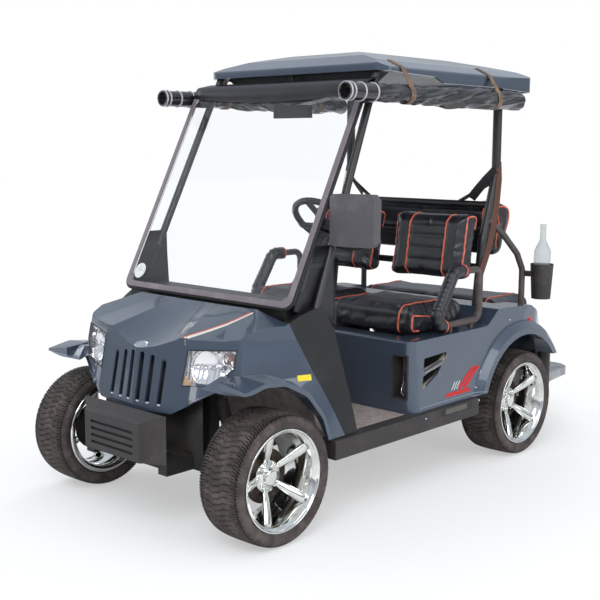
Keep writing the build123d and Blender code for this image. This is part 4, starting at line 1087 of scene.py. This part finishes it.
# The colour follows the same noise as the creases' bump: painted shade in the hollows and painted highlight
# on the raised folds
vinyl.set(Base_Color=crease_and_shade.between(0.3, 0.8).blend(rgb(20, 21, 27), rgb(36, 37, 46)))
vinyl.set(Roughness=0.32 + 0.22 * crease_and_shade)
vinyl.set(Normal=(0.12 * grain + crease_and_shade + 0.25 * vinyl.at.noise(48.0, 4.0)).bump(0.3, 0.004))
piping = Finish("orange_piping", (500.0, 2.0, 0.2, 0.0006), Roughness=0.5)
piping.set(Base_Color=piping.at.noise(60.0, 3.0).between(0.3, 0.7).blend(rgb(204, 84, 62),
                                                                         rgb(226, 122, 98)))

PUCKERS, PIPING_R, END_SEAM = 26.0, 0.0042, 0.012


def puckered(reach, along, size):
    """Drawn-in folds near a seam: reach is the distance from it, along the place on it."""
    fade = math.exp(-(reach / 0.05) ** 2)
    fold = math.sin(along * 2 * math.pi * PUCKERS + 2.2 * noise.noise(Vector((along * 9, reach * 20, 0.3))))
    return size * fade * fold


# Front cushions: flat under, crowned on top, with seams near both ends and a gathered outer end
CUSHION_SEAMS = (0.052, 0.425)
cushion = foam("cushion", (-0.485, 0.032, 0.6545), (-0.088, 0.505, 0.765), 0.030, 0.0085, 5.0, 0.012,
               lambda p: p.z < 0.66)


def cushion_form(p, normal):
    rise = 0.0
    for seam in CUSHION_SEAMS:
        rise += groove(p.y - seam, 0.007, 0.004)
    rise += puckered(abs(p.y - 0.495), p.x, 0.0028) if p.y > 0.44 and p.z > 0.665 else 0.0
    rise += 0.0022 * noise.noise(p * 13.0)
    return rise


rippled(cushion, cushion_form)
for v in cushion.data.vertices:
    v.co.z = max(v.co.z, 0.6530)
for (side, s), pad in zip(SIDES, (cushion, mirrored(cushion))):
    upholstered(pad, f"seat_cushion_{side}", "seat_lid", "front_cushions")
    for k, y in enumerate((*CUSHION_SEAMS, end_seams(cushion, END_SEAM)[1])):
        line = seam_line(pad, (-0.28, s * y, 0.70), -14, 165)
        bead(f"cushion_piping_{side}_{k}", line, PIPING_R, piping, "seat_lid")

# Front backs: leaning pads with a channelled middle between two piped seams
BACK_SEAMS = (0.165, 0.372)
BACK_ENDS = (0.058, 0.478)
CHANNEL = 0.057


def leaned(p):
    """From an upright block at x = 0 to the back's lean."""
    return Vector((p.x - 0.535 - 0.16 * (p.z - 0.84), p.y, p.z))


back = foam("back", (-0.052, 0.055, 0.848), (0.052, 0.482, 1.160), 0.034, 0.0085, 5.0, 0.012,
            lambda p: False)


def back_form(p, normal):
    rise = 0.0
    for seam in BACK_SEAMS:
        rise += groove(p.y - seam, 0.008, 0.005)
    if BACK_SEAMS[0] < p.y < BACK_SEAMS[1] and normal.x > 0.3:
        rise += groove((p.z - 0.85) % CHANNEL - CHANNEL / 2, 0.007, 0.007)
    for end in BACK_ENDS:
        rise += puckered(abs(p.y - end), p.z, 0.0008)
    return rise + 0.002 * noise.noise(p * 12.0)


rippled(back, back_form)
for v in back.data.vertices:
    v.co = leaned(v.co)
for (side, s), pad in zip(SIDES, (back, mirrored(back))):
    upholstered(pad, f"seat_back_{side}", "chassis", "front_backs")
    for k, y in enumerate((*BACK_SEAMS, *end_seams(back, END_SEAM))):
        line = seam_line(pad, (-0.56, s * y, 1.00), -75, 120)
        bead(f"back_piping_{side}_{k}", line, PIPING_R, piping)

# Rear bench: one wide cushion and a rounded back, piped across the ends
bench = foam("bench", (-1.188, -0.432, 0.602), (-0.857, 0.432, 0.712), 0.030, 0.012, 4.0, 0.010,
             lambda p: p.z < 0.62)
rippled(bench, lambda p, normal: 0.003 * noise.noise(p * 9.0) + sum(
    groove(abs(p.y) - y, 0.009, 0.004) for y in (0.36, 0.012)))
for v in bench.data.vertices:
    v.co.z = max(v.co.z, 0.6005)
upholstered(bench, "rear_bench_cushion", "chassis", "rear_cushion")
REST_HALF, REST_LOW = 0.062, 0.945
rest = foam("rest", (-REST_HALF, -0.442, REST_LOW), (REST_HALF, 0.442, 1.195), 0.045, 0.011, 4.0, 0.010,
            lambda p: False)
# x, z up the front and the rear face of the bench's back
REST_FRONT = [(-0.826, 0.932), (-0.800, 1.200), (-0.800, 1.260)]
REST_REAR = [(-0.905, 0.932), (-0.925, 1.010), (-1.012, 1.105), (-0.985, 1.165), (-0.880, 1.215),
             (-0.860, 1.260)]


def profile_at(profile, z):
    for (xa, za), (xb, zb) in zip(profile, profile[1:]):
        if z <= zb:
            return xa + (xb - xa) * (z - za) / (zb - za)
    return xb


for v in rest.data.vertices:
    z = 0.937 + (v.co.z - REST_LOW) * 1.08
    forward = (v.co.x + REST_HALF) / (2 * REST_HALF)
    front_x, rear_x = profile_at(REST_FRONT, z), profile_at(REST_REAR, z)
    v.co = Vector((rear_x + (front_x - rear_x) * forward, v.co.y, z))
rippled(rest, lambda p, normal: 0.003 * noise.noise(p * 9.0) + groove(abs(p.y) - 0.385, 0.009, 0.005))
upholstered(rest, "rear_bench_back", "chassis", "rear_back")
for side, s in SIDES:
    line = seam_line(bench, (-1.02, s * 0.36, 0.66), -10, 190)
    bead(f"bench_piping_{side}", line, PIPING_R, piping)
    for k, y in enumerate((0.385, end_seams(rest, 0.014)[1])):
        line = seam_line(rest, (-0.89, s * y, 1.085), -70, 250)
        bead(f"rest_piping_{side}_{k}", line, PIPING_R, piping)

# ---- Hip restraint sleeves
# Thick padded sleeves in the same vinyl wrap the front leg of each hip restraint. The cover is
# gathered on the inside of the bends and piped at both ends.


PATH_STEP = 0.004


def smooth_path(points, bend, steps=10):
    """Points along straight runs joined by arcs of one radius."""
    path = [Vector(points[0])]
    for before, corner, after in zip(points, points[1:], points[2:]):
        before, corner, after = Vector(before), Vector(corner), Vector(after)
        a, b = (before - corner).normalized(), (after - corner).normalized()
        half = a.angle(b) / 2
        centre = corner + (a + b).normalized() * bend / math.sin(half)
        start, end = corner + a * bend / math.tan(half), corner + b * bend / math.tan(half)
        for k in range(steps + 1):
            way = (start - centre).normalized().slerp((end - centre).normalized(), k / steps)
            path.append(centre + way * bend)
    path.append(Vector(points[-1]))
    even = [path[0]]
    for p in path[1:]:
        while (p - even[-1]).length > PATH_STEP:
            even.append(even[-1] + (p - even[-1]).normalized() * PATH_STEP)
    return even


SLEEVE_Y, SLEEVE_BEND, SLEEVE_R = 0.556, 0.045, 0.0292
PAD_PATH = [(-0.252, 0, 0.684), (-0.165, 0, 0.684), (-0.320, 0, 0.915), (-0.395, 0, 0.915)]
for side, s in SIDES:
    path = smooth_path([(x, s * SLEEVE_Y, z) for x, y, z in PAD_PATH], SLEEVE_BEND)
    rings = []
    last = len(path) - 1
    for i, p in enumerate(path):
        ahead_of = (path[min(i + 1, last)] - path[max(i - 1, 0)]).normalized()
        across = Vector((0, 1, 0))
        outer = ahead_of.cross(across).normalized()
        end = min(i, last - i)
        turn_rate = (path[min(i + 4, last)] - p).angle(p - path[max(i - 4, 0)],
                                                       0) if 4 <= i <= last - 4 else 0
        ring = []
        for a in circle(40):
            inner_side = max(0.0, -math.cos(a))
            fold = math.sin(i * 1.05 + 1.6 * noise.noise(Vector((i * 0.11, a, s))))
            r = SLEEVE_R + 0.0011 * noise.noise(Vector((i * 0.09, 2 * math.cos(a), 2 * math.sin(a))))
            r += 0.0020 * fold * (0.25 + 4.0 * turn_rate * inner_side + 0.9 * math.exp(-(end / 9) ** 2))
            r -= 0.0065 * math.exp(-(end / 1.6) ** 2)
            ring.append(p + (outer * math.cos(a) + across * math.sin(a)) * r)
        rings.append(ring)
    rings = [[path[0] + (q - path[0]) * 0.58 for q in rings[0]]] + rings + [
        [path[-1] + (q - path[-1]) * 0.58 for q in rings[-1]]]
    sleeve = joined(f"hip_sleeve_{side}", skinned("sleeve", rings), vinyl)
    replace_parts(sleeve, "hip_pads")
    for k, ring in ((0, rings[1]), (1, rings[-2])):
        centre = sum(ring, Vector()) / len(ring)
        cord = [centre + (q - centre) * 1.12 for q in ring]
        bead(f"sleeve_piping_{side}_{k}", cord, 0.0038, piping, closed=True)

# ---- Seat belts
# Two woven belts hang at each rear strut: a brown one from the strut's loop to its foot, and a
# wider black one along the brace.

# name, width and centre line of each belt
BELTS = [("brown", 0.026, [(-0.796, 0.466, 1.392), (-0.786, 0.478, 1.310), (-0.764, 0.484, 1.200),
                           (-0.738, 0.485, 1.090),
                           (-0.708, 0.482, 0.985), (-0.668, 0.478, 0.900), (-0.632, 0.474, 0.830)]),
         ("black", 0.044, [(-0.776, 0.462, 1.352), (-0.768, 0.420, 1.308), (-0.764, 0.378, 1.262),
                           (-0.766, 0.336, 1.216)])]
brown_web = Finish("belt_brown", Base_Color=rgb(92, 58, 46), Roughness=0.7)
black_web = Finish("belt_black", Base_Color=rgb(22, 21, 23), Roughness=0.6)
for web in (brown_web, black_web):
    web.set(Normal=web.at.axis("Z").math("SINE", web.at.axis("Z") * 3000.0).bump(0.3, 0.0005))
for side, s in SIDES:
    for name, width, line in BELTS:
        points = [Vector((x, s * y, z)) for x, y, z in line]
        rows = [[], []]
        for k, p in enumerate(points):
            along = (points[min(k + 1, len(points) - 1)] - points[max(k - 1, 0)]).normalized()
            face = along.cross(Vector((0.70, 0.70 * s, 0.1))).normalized()
            for row, half in zip(rows, (-width / 2, width / 2)):
                row.append(p + face * half)
        web = brown_web if name == "brown" else black_web
        belt = joined(f"seat_belt_{name}_{side}", sheet_mesh("belt", rows), web)
